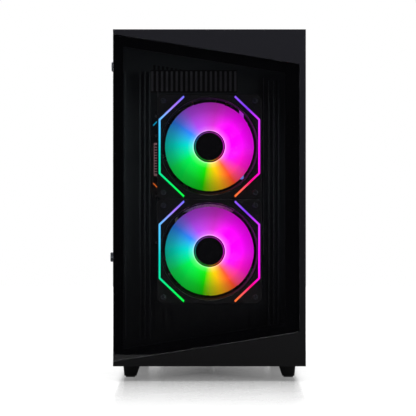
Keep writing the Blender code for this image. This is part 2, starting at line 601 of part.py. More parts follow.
# --- power supply ----------------------------------------------------------------------
psu = box("power_supply", *PSU_X, PSU_Y[0], PSU_Y[1], *PSU_Z)
INLET = (-44.0, 62.0)        # x and z of the mains inlet
ROCKER = (-44.0, 92.0)
hollow = box("hollow", PSU_X[0] + 1.5, PSU_X[1] - 1.5, PSU_Y[0] + 1.5, PSU_Y[1] - 1.5,
             PSU_Z[0] + 1.5, PSU_Z[1] - 1.5)
fan_holes = [slab("sector", "Z", PSU_Z[0] - 2.0, PSU_Z[0] + 3.0, loop)
             for loop in spider_holes(PSU_FAN[0], PSU_FAN[1], 14.0, 58.0, 6.0)]
rear_vents = [slab("vent", "Y", PSU_Y[1] - 4.0, PSU_Y[1] + 2.0, rect(x, x + 26.0, z, z + 5.0))
              for x in (-20.0, 12.0, 44.0) for z in range(32, 92, 10)]
inlet_hole = slab("hole", "Y", PSU_Y[1] - 4.0, PSU_Y[1] + 2.0,
                  rect(INLET[0] - 14.3, INLET[0] + 14.3, INLET[1] - 10.8, INLET[1] + 10.8))
rocker_hole = slab("hole", "Y", PSU_Y[1] - 4.0, PSU_Y[1] + 2.0,
                   rect(ROCKER[0] - 7.6, ROCKER[0] + 7.6, ROCKER[1] - 5.6, ROCKER[1] + 5.6))
lead_hole = slab("hole", "Y", PSU_Y[0] - 4.0, PSU_Y[0] + 4.0, rect(20.0, 70.0, 44.0, 80.0))
cut(psu, hollow, *fan_holes, *rear_vents, inlet_hole, rocker_hole, lead_hole)
finish(psu, DARK, 0.5, 0.5)
rotor("power_supply_fan", (PSU_FAN[0], PSU_FAN[1], PSU_Z[0] + 16.0), "Z", 18.0, 54.0,
      (-13.0, 6.0), (-7.0, 7.0), 7, DARK, 44.0)

inlet = slab("power_inlet", "Y", PSU_Y[1] - 22.0, PSU_Y[1] + 1.2,
             [(INLET[0] - 14.0, INLET[1] - 10.5), (INLET[0] + 14.0, INLET[1] - 10.5), (INLET[0] + 14.0, INLET[1] + 5.0),
              (INLET[0] + 9.0, INLET[1] + 10.5), (INLET[0] - 9.0, INLET[1] + 10.5), (INLET[0] - 14.0, INLET[1] + 5.0)])
well = slab("well", "Y", PSU_Y[1] - 17.0, PSU_Y[1] + 4.0,
            [(INLET[0] - 12.0, INLET[1] - 8.3), (INLET[0] + 12.0, INLET[1] - 8.3), (INLET[0] + 12.0, INLET[1] + 3.8),
             (INLET[0] + 7.8, INLET[1] + 8.3), (INLET[0] - 7.8, INLET[1] + 8.3), (INLET[0] - 12.0, INLET[1] + 3.8)])
cut(inlet, well)
pins = [box("pin", INLET[0] + dx - 1.0, INLET[0] + dx + 1.0, PSU_Y[1] - 18.0, PSU_Y[1] - 6.0,
            INLET[1] + dz - 2.0, INLET[1] + dz + 2.0) for dx, dz in ((-7.0, -1.5), (7.0, -1.5), (0.0, 2.5))]
union(inlet, *pins)
finish(inlet, BLACK, 0.5)

# The rocker turns about X, through the middle of its hole in the rear wall.
ROCK_Y = PSU_Y[1] - 2.0
rock = slab("power_rocker", "X", ROCKER[0] - 6.8, ROCKER[0] + 6.8,
            [(ROCK_Y - 4.0, ROCKER[1] - 2.0), (ROCK_Y + 1.5, ROCKER[1] - 4.6), (ROCK_Y + 3.6, ROCKER[1] - 4.2),
             (ROCK_Y + 2.6, ROCKER[1]), (ROCK_Y + 3.6, ROCKER[1] + 4.2), (ROCK_Y + 1.5, ROCKER[1] + 4.6),
             (ROCK_Y - 4.0, ROCKER[1] + 2.0)])
finish(rock, BLACK, 0.4, 0.0, (ROCKER[0], ROCK_Y, ROCKER[1]))

# --- drive -----------------------------------------------------------------------------
CAGE_X = (-72.0, 78.0)
CAGE_Y = (-136.0, -30.0)
cage = slab("drive_cage", "X", *CAGE_X, [
    (CAGE_Y[0], PLATE_LO_Z), (CAGE_Y[0] + 10.0, PLATE_LO_Z), (CAGE_Y[0] + 10.0, PLATE_LO_Z + STEEL),
    (CAGE_Y[0] + STEEL, PLATE_LO_Z + STEEL), (CAGE_Y[0] + STEEL, 100.0), (CAGE_Y[1] - STEEL, 100.0),
    (CAGE_Y[1] - STEEL, PLATE_LO_Z + STEEL), (CAGE_Y[1] - 10.0, PLATE_LO_Z + STEEL),
    (CAGE_Y[1] - 10.0, PLATE_LO_Z), (CAGE_Y[1], PLATE_LO_Z), (CAGE_Y[1], 100.0 + STEEL),
    (CAGE_Y[0], 100.0 + STEEL)])
finish(cage, SATIN, 0.5, 0.6)
drive = box("hard_drive", -70.0, 77.0, CAGE_Y[0] + 2.2, CAGE_Y[1] - 2.2, 26.0, 52.1)
finish(cut(drive, box("step", -66.0, -50.0, CAGE_Y[0], CAGE_Y[1], 24.0, 29.0)), (0.35, 0.36, 0.37), 0.4, 0.8)

# --- filters ---------------------------------------------------------------------------
filter_rect = round_rect(-76.0, 76.0, -100.0, 166.0, 5.0, 2)
windows = [rect(x, x + 68.0, y, y + 60.0) for x in (-72.0, 4.0) for y in (-96.0, -31.0, 34.0, 99.0)]
mesh_sheet = slab("top_filter", "Z", TOP_Z - 1.1, TOP_Z + 0.3, filter_rect)
finish(cut(mesh_sheet, *[slab("thin", "Z", TOP_Z - 0.4, TOP_Z + 2.0, w) for w in windows]), BLACK, 0.7)

tray_z = (BASE_Z - 4.0, BASE_Z - GAP)
filter_tray = slab("power_supply_filter", "Z", *tray_z, rect(-66.0, 78.0, 40.0, REAR_Y + 3.0))
finish(cut(filter_tray, slab("thin", "Z", tray_z[0] + 1.2, tray_z[1] + 1.0, rect(-60.0, 72.0, 48.0, 184.0))),
       BLACK, 0.7)

# --- top controls ----------------------------------------------------------------------
PORT_TOP = TOP_Z - 0.6
POWER = (-50.0, -134.0, 5.6)
RESET = (50.0, -134.0, 2.6)
PORTS = ((-32.0, 13.6, 6.4), (-12.0, 13.6, 6.4), (8.0, 13.6, 6.4))
block = slab("top_port_block", "Z", PORT_TOP - 14.0, PORT_TOP, rect(*PORT_X, *PORT_Y),
             [circle(POWER[0], POWER[1], POWER[2] + 0.4, 20), circle(RESET[0], RESET[1], RESET[2] + 0.4, 12)])
mouths = [box("usb", x, x + w, -134.0 - h / 2, -134.0 + h / 2, PORT_TOP - 11.0, PORT_TOP + 2.0)
          for x, w, h in PORTS]
mouths += [slab("jack", "Z", PORT_TOP - 11.0, PORT_TOP + 2.0, circle(x, -134.0, 1.9, 8)) for x in (30.0, 38.0)]
cut(block, *mouths)
union(block, *[box("tongue", x + 1.6, x + w - 1.6, -134.0 - 0.6, -134.0 + 1.4, PORT_TOP - 11.5, PORT_TOP - 1.0)
               for x, w, h in PORTS])
finish(block, BLACK, 0.4)
for name, (x, y, r), n in (("power_button", POWER, 20), ("reset_button", RESET, 12)):
    key = slab(name, "Z", PORT_TOP - 12.0, PORT_TOP + 0.9, circle(x, y, r, n))
    finish(key, DARK, 0.35, 0.0, (x, y, PORT_TOP))

# --- side panels and their screws ------------------------------------------------------
side = slab("side_glass", "X", -CASE_HALF_W, -CASE_HALF_W + GLASS_T,
            round_rect(FRAME_FRONT_Y, REAR_Y - 0.5, *SIDE_PANE_Z, 3.0, 2),
            [circle(y, z, 2.6, 10) for y in SCREW_Y for z in SCREW_Z])
finish(side, (0.03, 0.03, 0.035), 0.05)
for row, z in zip(("upper", "lower"), SCREW_Z):
    for end, y in zip(("front", "rear"), SCREW_Y):
        lift = 1.3 if (row, end) == ("lower", "front") else 0.0
        head_x = -CASE_HALF_W - GAP - lift
        head = slab(f"glass_screw_{end}_{row}", "X", head_x - THUMB_HEAD, head_x, circle(y, z, THUMB_R, 18))
        union(head, slab("shank", "X", head_x - 0.5, -100.5, circle(y, z, 1.9, 10)))
        finish(head, (0.08, 0.085, 0.1), 0.35, 0.6, (head_x, y, z))

LIP_Y = (REAR_Y + GAP, REAR_Y + GAP + STEEL)
panel = slab("right_panel", "Z", BASE_Z + 0.6, TOP_Z - 1.4, [
    (CASE_HALF_W - STEEL, FRAME_FRONT_Y), (CASE_HALF_W, FRAME_FRONT_Y), (CASE_HALF_W, LIP_Y[1]),
    (94.0, LIP_Y[1]), (94.0, LIP_Y[0]), (CASE_HALF_W - STEEL, LIP_Y[0])])
finish(cut(panel, *[slab("hole", "Y", LIP_Y[0] - 1, LIP_Y[1] + 1, circle(101.0, z, 2.6, 10)) for z in SCREW_Z]),
       SATIN, 0.5, 0.6)
for row, z in zip(("upper", "lower"), SCREW_Z):
    head_y = LIP_Y[1] + GAP
    head = slab(f"panel_screw_{row}", "Y", head_y, -FRONT_Y, circle(101.0, z, THUMB_R, 18))
    union(head, slab("shank", "Y", REAR_Y - 6.0, head_y + 0.5, circle(101.0, z, 1.9, 10)))
    finish(head, (0.08, 0.085, 0.1), 0.35, 0.6, (101.0, head_y, z))


# --- internal leads --------------------------------------------------------------------
def lead(name, points, width, height, colour):
    """A flat bundle swept through points; the profile's width lies along the last vector."""
    verts = []
    faces = []
    n = len(points)
    ring = 6
    for i, p in enumerate(points):
        here = Vector(p)
        ahead = Vector(points[min(i + 1, n - 1)]) - Vector(points[max(i - 1, 0)])
        ahead.normalize()
        across = Vector((0.0, 0.0, 1.0)) if abs(ahead.z) < 0.75 else Vector((0.0, 1.0, 0.0))
        side_v = ahead.cross(across).normalized()
        up_v = side_v.cross(ahead).normalized()
        for k in range(ring):
            a = 2 * math.pi * k / ring
            verts.append(tuple(here + side_v * (height / 2 * math.cos(a)) + up_v * (width / 2 * math.sin(a))))
        if i:
            p0 = ring * (i - 1)
            for k in range(ring):
                k2 = (k + 1) % ring
                faces.append((p0 + k, p0 + k2, p0 + ring + k2, p0 + ring + k))
    faces.append(tuple(range(ring)))
    faces.append(tuple(range(ring * (n - 1), ring * n)))
    return finish(mesh_object(name, verts, faces), colour, 0.7)


lead("board_lead", [(64.0, -46.0, 300.0), (63.0, -56.0, 300.0), (67.0, -66.0, 299.0), (78.0, -72.0, 298.0),
                    (90.0, -73.0, 296.0), (96.5, -72.0, 286.0), (97.5, -70.0, 262.0), (97.5, -58.0, 200.0),
                    (97.5, -30.0, 120.0), (97.0, -10.0, 88.0), (90.0, 4.0, 72.0), (72.0, 18.0, 64.0),
                    (56.0, 32.0, 62.0), (48.0, 44.0, 62.0), (46.0, 52.0, 62.0)], 12.0, 7.0, BLACK)
lead("graphics_lead", [(-49.0, -20.0, 205.0), (-56.0, -22.0, 205.0), (-64.0, -28.0, 196.0), (-66.0, -40.0, 176.0),
                       (-62.0, -56.0, 150.0), (-52.0, -67.0, 128.0), (-46.0, -69.0, 117.5), (-40.0, -68.0, 108.0),
                       (-34.0, -24.0, 108.5), (-14.0, 20.0, 108.0), (22.0, 34.0, 90.0), (28.0, 42.0, 66.0),
                       (28.0, 52.0, 62.0)], 9.0, 6.0, BLACK)

for obj in PARTS.objects:
    obj.location.x += SHIFT_X * MM
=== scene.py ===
"""Looks of the desktop tower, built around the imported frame. Sizes are in millimetres."""
import math
import random

import bmesh
import bpy
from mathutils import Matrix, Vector
from mathutils.geometry import delaunay_2d_cdt


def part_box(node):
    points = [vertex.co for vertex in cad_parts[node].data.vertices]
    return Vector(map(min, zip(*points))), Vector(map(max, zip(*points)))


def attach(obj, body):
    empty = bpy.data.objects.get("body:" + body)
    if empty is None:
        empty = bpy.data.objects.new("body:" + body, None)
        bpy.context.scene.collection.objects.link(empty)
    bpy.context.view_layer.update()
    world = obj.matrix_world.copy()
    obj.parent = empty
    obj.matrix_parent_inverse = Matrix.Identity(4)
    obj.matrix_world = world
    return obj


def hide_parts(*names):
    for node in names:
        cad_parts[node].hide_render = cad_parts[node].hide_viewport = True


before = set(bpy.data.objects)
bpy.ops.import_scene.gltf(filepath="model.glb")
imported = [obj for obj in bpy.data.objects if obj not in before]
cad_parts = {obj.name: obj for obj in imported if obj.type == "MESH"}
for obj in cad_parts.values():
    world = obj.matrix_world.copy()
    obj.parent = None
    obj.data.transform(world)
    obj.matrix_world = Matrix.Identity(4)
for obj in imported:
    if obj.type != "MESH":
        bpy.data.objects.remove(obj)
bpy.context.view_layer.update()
MM = 0.001
CORNERS = [(-1, -1), (-1, 1), (1, -1), (1, 1)]
FAN_SCREW = 52.5          # a 120 mm fan's screws, from its middle


def ends(node):
    """x0, x1, y0, y1, z0, z1 of a CAD node in millimetres."""
    lo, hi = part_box(node)
    return tuple(v / MM for pair in zip(lo, hi) for v in pair)


def middle(node):
    x0, x1, y0, y1, z0, z1 = ends(node)
    return ((x0 + x1) / 2, (y0 + y1) / 2, (z0 + z1) / 2)


def mix(a, b, t):
    return a + (b - a) * t


def linear(r, g, b):
    """A display colour, 0 to 255, as linear light."""
    return tuple(((c / 255 + 0.055) / 1.055) ** 2.4 if c > 10 else c / 255 / 12.92 for c in (r, g, b))


def add_object(name, data):
    obj = bpy.data.objects.new(name, data)
    bpy.context.scene.collection.objects.link(obj)
    return obj


# --- geometry --------------------------------------------------------------------------
def rect(u0, u1, v0, v1):
    return [(u0, v0), (u1, v0), (u1, v1), (u0, v1)]


def round_rect(u0, u1, v0, v1, r, steps=4):
    pts = []
    for cu, cv, start in ((u1 - r, v1 - r, 0), (u0 + r, v1 - r, 90), (u0 + r, v0 + r, 180),
                          (u1 - r, v0 + r, 270)):
        for i in range(steps + 1):
            a = math.radians(start + 90.0 * i / steps)
            pts.append((cu + r * math.cos(a), cv + r * math.sin(a)))
    return pts


def circle(cu, cv, r, n=32, turn=0.0):
    return [(cu + r * math.cos(turn + i * math.tau / n), cv + r * math.sin(turn + i * math.tau / n))
            for i in range(n)]


def area(loop):
    return sum(u0 * v1 - u1 * v0 for (u0, v0), (u1, v1) in zip(loop, loop[1:] + loop[:1])) / 2


def shrink(loop, d):
    """The loop moved towards its own inside by d, corners mitred."""
    if not d:
        return list(loop)
    turn = 1 if area(loop) > 0 else -1
    out = []
    n = len(loop)
    for i in range(n):
        (a0, a1), (b0, b1), (c0, c1) = loop[i - 1], loop[i], loop[(i + 1) % n]
        l1 = math.hypot(b0 - a0, b1 - a1)
        l2 = math.hypot(c0 - b0, c1 - b1)
        n1 = (-(b1 - a1) / l1 * turn, (b0 - a0) / l1 * turn)
        n2 = (-(c1 - b1) / l2 * turn, (c0 - b0) / l2 * turn)
        k = d / max(0.3, 1 + n1[0] * n2[0] + n1[1] * n2[1])
        out.append((b0 + (n1[0] + n2[0]) * k, b1 + (n1[1] + n2[1]) * k))
    return out


def rounded(loop, radii, steps=4):
    """The loop with its corners rounded; radii is one number or one for each corner."""
    out = []
    n = len(loop)
    for i in range(n):
        r = radii if isinstance(radii, (int, float)) else radii[i]
        b = Vector(loop[i])
        to_a = Vector(loop[i - 1]) - b
        to_c = Vector(loop[(i + 1) % n]) - b
        half = to_a.angle(to_c) / 2
        if not r:
            out.append(tuple(b))
            continue
        reach = r / math.tan(half)
        start = b + to_a.normalized() * reach
        stop = b + to_c.normalized() * reach
        for k in range(steps + 1):
            t = k / steps
            out.append(tuple(start * (1 - t) ** 2 + b * 2 * t * (1 - t) + stop * t ** 2))
    return out


def inside(loop, u, v):
    hit = False
    for (u0, v0), (u1, v1) in zip(loop, loop[1:] + loop[:1]):
        if (v0 > v) != (v1 > v) and u < (u1 - u0) * (v - v0) / (v1 - v0) + u0:
            hit = not hit
    return hit


def fill(loops):
    """Triangles between the first loop and the holes."""
    flat = [p for loop in loops for p in loop]
    if len(loops) == 1 and len(flat) == 4:
        return [(0, 1, 2, 3)]
    edges = []
    start = 0
    for loop in loops:
        n = len(loop)
        edges += [(start + i, start + (i + 1) % n) for i in range(n)]
        start += n
    _, _, tris, origin, _, _ = delaunay_2d_cdt([Vector(p) for p in flat], edges, [], 0, 0.00001)
    kept = []
    for tri in tris:
        if any(not origin[i] for i in tri):
            continue
        ids = [origin[i][0] for i in tri]
        u = sum(flat[i][0] for i in ids) / 3
        v = sum(flat[i][1] for i in ids) / 3
        if inside(loops[0], u, v) and not any(inside(hole, u, v) for hole in loops[1:]):
            kept.append(ids)
    return kept


def place(axis, u, v, w):
    return {"X": (w, u, v), "Y": (u, w, v), "Z": (u, v, w)}[axis]


class Shape:
    """Closed bodies gathered into one mesh."""

    def __init__(self):
        self.verts = []
        self.faces = []
        self.mats = []

    def add(self, verts, faces, mat=0):
        base = len(self.verts)
        self.verts += [tuple(v) for v in verts]
        self.faces += [tuple(i + base for i in f) for f in faces]
        self.mats += [mat] * len(faces)
        return self

    def slab(self, axis, lo, hi, outer, holes=(), edge=(0.0, 0.0), mat=0):
        """A plate normal to the axis; edge is the chamfer at its low and high face."""
        if isinstance(edge, (int, float)):
            edge = (edge, edge)
        loops = [list(outer)] + [list(h) for h in holes]
        layers = [(lo, edge[0])] + ([(lo + edge[0], 0.0)] if edge[0] else [])
        layers += ([(hi - edge[1], 0.0)] if edge[1] else []) + [(hi, edge[1])]
        verts = []
        per = sum(len(loop) for loop in loops)
        for w, inset in layers:
            for k, loop in enumerate(loops):
                for u, v in shrink(loop, inset if k == 0 else -inset):
                    verts.append(place(axis, u, v, w))
        faces = []
        top = (len(layers) - 1) * per
        for tri in fill([shrink(loop, edge[0] if k == 0 else -edge[0]) for k, loop in enumerate(loops)]):
            faces.append(tuple(tri))
        for tri in fill([shrink(loop, edge[1] if k == 0 else -edge[1]) for k, loop in enumerate(loops)]):
            faces.append(tuple(i + top for i in reversed(tri)))
        for layer in range(len(layers) - 1):
            start = layer * per
            for loop in loops:
                n = len(loop)
                for i in range(n):
                    a, b = start + i, start + (i + 1) % n
                    faces.append((a, b, b + per, a + per))
                start += n
        return self.add(verts, faces, mat)

    def box(self, x0, x1, y0, y1, z0, z1, edge=0.0, mat=0):
        return self.slab("Z", min(z0, z1), max(z0, z1),
                         rect(min(x0, x1), max(x0, x1), min(y0, y1), max(y0, y1)),
                         (), edge, mat)

    def rod(self, axis, cu, cv, r, lo, hi, edge=0.0, n=24, mat=0, hole=0.0):
        holes = [circle(cu, cv, hole, n)] if hole else ()
        return self.slab(axis, lo, hi, circle(cu, cv, r, n), holes, edge, mat)

    def lathe(self, axis, centre, profile, n=32, mat=0):
        """A turned body: profile is (radius, height) from the axis up and back to the axis."""
        cu, cv, cw = {"X": (centre[1], centre[2], centre[0]), "Y": (centre[0], centre[2], centre[1]),
                      "Z": centre}[axis]
        verts = []
        faces = []
        m = len(profile)
        for i in range(n):
            a = math.tau * i / n
            for r, w in profile:
                verts.append(place(axis, cu + r * math.cos(a), cv + r * math.sin(a), cw + w))
        for i in range(n):
            for k in range(m):
                a, b = i * m + k, i * m + (k + 1) % m
                c, d = ((i + 1) % n) * m + (k + 1) % m, ((i + 1) % n) * m + k
                faces.append((a, b, c, d))
        return self.add(verts, faces, mat)

    def tube(self, points, r, n=10, mat=0, flat=1.0):
        """A round or flattened bundle swept along a smooth line through the points."""
        line = smooth_line(points)
        verts = []
        faces = []
        side = None
        for i, p in enumerate(line):
            ahead = (line[min(i + 1, len(line) - 1)] - line[max(i - 1, 0)]).normalized()
            if side is None:
                side = ahead.cross(Vector((0, 0, 1)) if abs(ahead.z) < 0.8 else Vector((0, 1, 0)))
            side = (side - ahead * side.dot(ahead)).normalized()
            up = side.cross(ahead)
            for k in range(n):
                a = math.tau * k / n
                verts.append(p + side * (r * math.cos(a)) + up * (r * flat * math.sin(a)))
            if i:
                for k in range(n):
                    a, b = (i - 1) * n + k, (i - 1) * n + (k + 1) % n
                    faces.append((a, b, b + n, a + n))
        faces.append(tuple(range(n)))
        faces.append(tuple(range(len(verts) - n, len(verts))))
        return self.add(verts, faces, mat)

    def mesh(self, name):
        bm = bmesh.new()
        made = [bm.verts.new(Vector(v) * MM) for v in self.verts]
        for f, m in zip(self.faces, self.mats):
            if len(set(f)) < 3:
                continue
            face = bm.faces.new([made[i] for i in f])
            face.material_index = m
            face.smooth = True
        bmesh.ops.remove_doubles(bm, verts=bm.verts, dist=1e-7)
        bmesh.ops.recalc_face_normals(bm, faces=bm.faces)
        mesh = bpy.data.meshes.new(name)
        bm.to_mesh(mesh)
        bm.free()
        mesh.set_sharp_from_angle(angle=math.radians(38))
        return mesh

    def show(self, name, body, mats, nodes=(), slot=None):
        obj = add_object(name, self.mesh(name))
        for m in mats if isinstance(mats, (list, tuple)) else [mats]:
            obj.data.materials.append(m)
        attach(obj, body)
        if nodes:
            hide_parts(*([nodes] if isinstance(nodes, str) else nodes))
        return obj


def smooth_line(points, per=6):
    """Points on a smooth line through the given points."""
    p = [Vector(q) for q in points]
    p = [p[0] * 2 - p[1]] + p + [p[-1] * 2 - p[-2]]
    out = []
    for i in range(1, len(p) - 2):
        for k in range(per):
            t = k / per
            a, b, c, d = p[i - 1], p[i], p[i + 1], p[i + 2]
            out.append(0.5 * (2 * b + (c - a) * t + (2 * a - 5 * b + 4 * c - d) * t ** 2
                              + (3 * b - a - 3 * c + d) * t ** 3))
    out.append(p[-2])
    return out


def carve(obj, cutter):
    """Cut a Shape out of a shown piece."""
    tool = add_object("tool", cutter.mesh("tool"))
    tool.hide_render = True
    mod = obj.modifiers.new("cut", "BOOLEAN")
    mod.operation = "DIFFERENCE"
    mod.solver = "EXACT"
    mod.object = tool
    graph = bpy.context.evaluated_depsgraph_get()
    mesh = bpy.data.meshes.new_from_object(obj.evaluated_get(graph))
    obj.modifiers.clear()
    obj.data = mesh
    mesh.set_sharp_from_angle(angle=math.radians(38))
    bpy.data.objects.remove(tool, do_unlink=True)
    return obj


# --- materials -------------------------------------------------------------------------
def add_node(tree, kind, feeds=None, **settings):
    """A shader node. settings are its attributes; feeds are its inputs, as values or outputs to link."""
    made = tree.nodes.new("ShaderNode" + kind)
    for key, value in settings.items():
        setattr(made, key, value)
    for key, value in (feeds or {}).items():
        if isinstance(value, bpy.types.NodeSocket):
            tree.links.new(value, made.inputs[key])
        else:
            made.inputs[key].default_value = value
    return made

def position(tree):
    """Where the shaded point is on its object."""
    return add_node(tree, "TexCoord").outputs["Object"]

def map_range(tree, value, from_min, from_max, to_min, to_max, **settings):
    feeds = {"Value": value, "From Min": from_min, "From Max": from_max, "To Min": to_min, "To Max": to_max}
    return add_node(tree, "MapRange", feeds, **settings).outputs[0]

def colour_stops(tree, value, stops):
    """The outputs of a colour ramp over value; stops are (place from 0 to 1, colour with alpha)."""
    ramp = add_node(tree, "ValToRGB", {0: value})
    points = ramp.color_ramp.elements
    while len(points) > 1:
        points.remove(points[-1])
    for k, (at, colour) in enumerate(stops):
        point = points.new(at) if k else points[0]
        point.position = at
        point.color = colour
    return ramp.outputs

def principled(name):
    """A new material, its node tree and its shader."""
    mat = bpy.data.materials.new(name)
    mat.use_nodes = True
    return mat, mat.node_tree, mat.node_tree.nodes["Principled BSDF"]

def material(name, colour, rough, metal=0.0, grain=0.0, bump=0.0, spread=0.0, rough_spread=0.0, **sockets):
    """A Principled material. grain is the size in millimetres of its texture, bump its depth in
    millimetres, spread how much the colour varies, rough_spread how much the gloss varies."""
    mat, tree, shader = principled(name)
    shader.inputs["Base Color"].default_value = (*colour, 1.0)
    shader.inputs["Roughness"].default_value = rough
    shader.inputs["Metallic"].default_value = metal
    for key, value in sockets.items():
        shader.inputs[key.replace("_", " ")].default_value = value
    if not grain:
        return mat
    noise = add_node(tree, "TexNoise", {"Vector": position(tree), "Scale": 1.0 / (grain * MM),
                                        "Detail": 3.0})
    uneven = noise.outputs["Fac"]
    if bump:
        relief = add_node(tree, "Bump", {"Strength": 1.0, "Distance": bump * MM, "Height": uneven})
        tree.links.new(relief.outputs["Normal"], shader.inputs["Normal"])
    if spread:
        low, high = (tuple(c * (1 + way * spread) for c in colour) for way in (-1, 1))
        tint = add_node(tree, "MapRange", {6: uneven, 7: (0.3,) * 3, 8: (0.7,) * 3, 9: low, 10: high},
                        data_type="FLOAT_VECTOR")
        tree.links.new(tint.outputs[1], shader.inputs["Base Color"])
    if rough_spread:
        gloss = map_range(tree, uneven, 0.3, 0.7, rough - rough_spread, rough + rough_spread)
        tree.links.new(gloss, shader.inputs["Roughness"])
    return mat

def painted_shade_by_height(mat, z_low, z_high, share_low, share_high):
    """Painted shade: scales a material's colour with height, from share_low at z_low to share_high at
    z_high, so it is lighter on top and darker below.
    """
    tree = mat.node_tree
    base = tree.nodes["Principled BSDF"].inputs["Base Color"]
    height = add_node(tree, "SeparateXYZ", {0: position(tree)}).outputs["Z"]
    share = map_range(tree, height, z_low, z_high, share_low, share_high)
    shade = add_node(tree, "VectorMath", {0: base.links[0].from_socket, "Scale": share}, operation="SCALE")
    tree.links.new(shade.outputs[0], base)

STEEL = material("powder_coat", (0.011, 0.011, 0.012), 0.5, 0.0, 0.35, 0.02, 0.12, 0.05,
                 Specular_IOR_Level=0.28)
BEZEL = material("bezel_plastic", (0.009, 0.009, 0.012), 0.5, 0.0, 0.25, 0.008, 0.08, 0.04,
                 Specular_IOR_Level=0.12)
# Painted shade: the bezel plastic, and the feet that share it, are made darker towards the bottom and
# lighter at the top, as light from above would leave them.
painted_shade_by_height(BEZEL, 0.02, 0.38, 0.12, 1.25)
PLASTIC = material("black_plastic", (0.007, 0.007, 0.008), 0.5, 0.0, 0.3, 0.01, 0.1, 0.05,
                   Specular_IOR_Level=0.35)
GLOSS = material("gloss_plastic", (0.008, 0.008, 0.009), 0.12, 0.0, 6.0, 0.0, 0.05, 0.03)
RUBBER = material("foot_rubber", (0.009, 0.009, 0.01), 0.72, 0.0, 0.5, 0.03, 0.15, 0.08)
FRIT = material("printed_border", (0.0008, 0.0008, 0.001), 0.9, 0.0, 1.0, 0.0, 0.1, 0.05,
                Specular_IOR_Level=0.0)
INNER = material("inner_panel", (0.055, 0.066, 0.07), 0.5, 0.0, 0.4, 0.01, 0.15, 0.05,
                 Specular_IOR_Level=0.3)
# Painted light and shade: the inner panel is made lighter at the top and darker towards the bottom.
painted_shade_by_height(INNER, 0.08, 0.22, 0.12, 1.0)
SCREW = material("dark_screw", (0.07, 0.075, 0.09), 0.35, 0.8, 0.2, 0.01, 0.15, 0.06)
ZINC = material("bright_steel", (0.36, 0.37, 0.39), 0.32, 1.0, 0.8, 0.003, 0.1, 0.08)
ALU = material("fin_aluminium", (0.68, 0.69, 0.71), 0.32, 1.0, 1.5, 0.004, 0.06, 0.08)
BLACK_ALU = material("anodised_black", (0.035, 0.035, 0.038), 0.38, 0.7, 0.3, 0.008, 0.1, 0.05)
COPPER = material("copper_pipe", (0.72, 0.38, 0.22), 0.25, 1.0, 0.6, 0.002, 0.08, 0.06)
GOLD = material("contact_gold", (0.8, 0.55, 0.2), 0.3, 1.0, 0.5, 0.0, 0.1, 0.05)
SLEEVE = material("woven_sleeve", (0.012, 0.012, 0.013), 0.75, 0.0, 0.6, 0.08, 0.3, 0.06)
BLUE = material("port_blue", (0.01, 0.09, 0.45), 0.4, 0.0, 0.4, 0.004, 0.08, 0.05)
GREY = material("grey_plastic", (0.2, 0.2, 0.21), 0.45, 0.0, 0.4, 0.006, 0.08, 0.05)
# Grey trim for the slats; the pane's bead and two thin strips by the controller use it as painted
# highlight.
GREY_TRIM_AND_HIGHLIGHT = material("grey_trim_and_painted_highlight", (0.17, 0.17, 0.19), 0.4, 0.0, 0.4, 0.006, 0.1, 0.05)
PINK_TRIM = material("tinted_trim", (0.6, 0.32, 0.34), 0.4, 0.0, 0.4, 0.006, 0.2, 0.05,
                     Emission_Color=(0.6, 0.33, 0.36, 1), Emission_Strength=0.3)
WHITE_PRINT = material("white_symbol", (0.7, 0.7, 0.7), 0.5, 0.0, 0.3, 0.0, 0.05, 0.03)
GLASS_FRONT = material("tinted_front_glass", (0.003, 0.003, 0.004), 0.02, 0.0, 30.0, 0.0, 0.05, 0.008,
                       Alpha=0.28, IOR=1.5)
GLASS_SIDE = material("tinted_side_glass", (0.006, 0.006, 0.007), 0.02, 0.0, 30.0, 0.0, 0.05, 0.008,
                      Alpha=0.22, IOR=1.4)

# The rainbow of a lit fan, by angle from the viewer's right, turning upwards.
MAGENTA = (255, 0, 255)
RAINBOW = [(0, MAGENTA), (45, (240, 0, 240)), (80, (180, 40, 180)), (120, (150, 60, 200)),
           (145, (40, 110, 210)),
           (175, (0, 180, 170)), (210, (0, 200, 70)), (260, (0, 190, 0)), (285, (220, 170, 0)),
           (305, (255, 80, 40)), (330, (255, 20, 200)), (360, MAGENTA)]


def glow(name, centre, stops, strength, fade=None):
    """Light whose colour goes round the centre; fade is a list of (radius, brightness, white)."""
    mat, tree, shader = principled(name)
    shader.inputs["Base Color"].default_value = (0.006, 0.006, 0.006, 1.0)
    shader.inputs["Roughness"].default_value = 0.55
    shader.inputs["Specular IOR Level"].default_value = 0.12
    off = add_node(tree, "VectorMath", {0: position(tree), 1: [c * MM for c in centre]},
                   operation="SUBTRACT")
    split = add_node(tree, "SeparateXYZ", {0: off.outputs[0]})
    across, up = split.outputs["X"], split.outputs["Z"]
    angle = add_node(tree, "Math", {0: up, 1: across}, operation="ARCTAN2")
    turns = add_node(tree, "Math", {0: angle.outputs[0], 1: math.tau}, operation="DIVIDE")
    wrap = add_node(tree, "Math", {0: turns.outputs[0]}, operation="FRACT")
    ring = [(degrees / 360, (*linear(*rgb), 1.0)) for degrees, rgb in stops]
    colour = colour_stops(tree, wrap.outputs[0], ring)["Color"]
    if fade:
        flat = add_node(tree, "CombineXYZ", {0: across, 1: up})
        reach = add_node(tree, "VectorMath", {0: flat.outputs[0]}, operation="LENGTH")
        near, far = fade[0][0], fade[-1][0]
        share = map_range(tree, reach.outputs["Value"], near * MM, far * MM, 0.0, 1.0)
        levels = [((r - near) / (far - near), (level, level, level, white)) for r, level, white in fade]
        bright = colour_stops(tree, share, levels)
        pale = add_node(tree, "Mix", {0: bright["Alpha"], 6: colour, 7: (1.0, 0.9, 1.0, 1.0)},
                        data_type="RGBA")
        dim = add_node(tree, "Mix", {0: 1.0, 6: pale.outputs[2], 7: bright["Color"]}, data_type="RGBA",
                       blend_type="MULTIPLY")
        colour = dim.outputs[2]
    tree.links.new(colour, shader.inputs["Emission Color"])
    shader.inputs["Emission Strength"].default_value = strength
    return mat

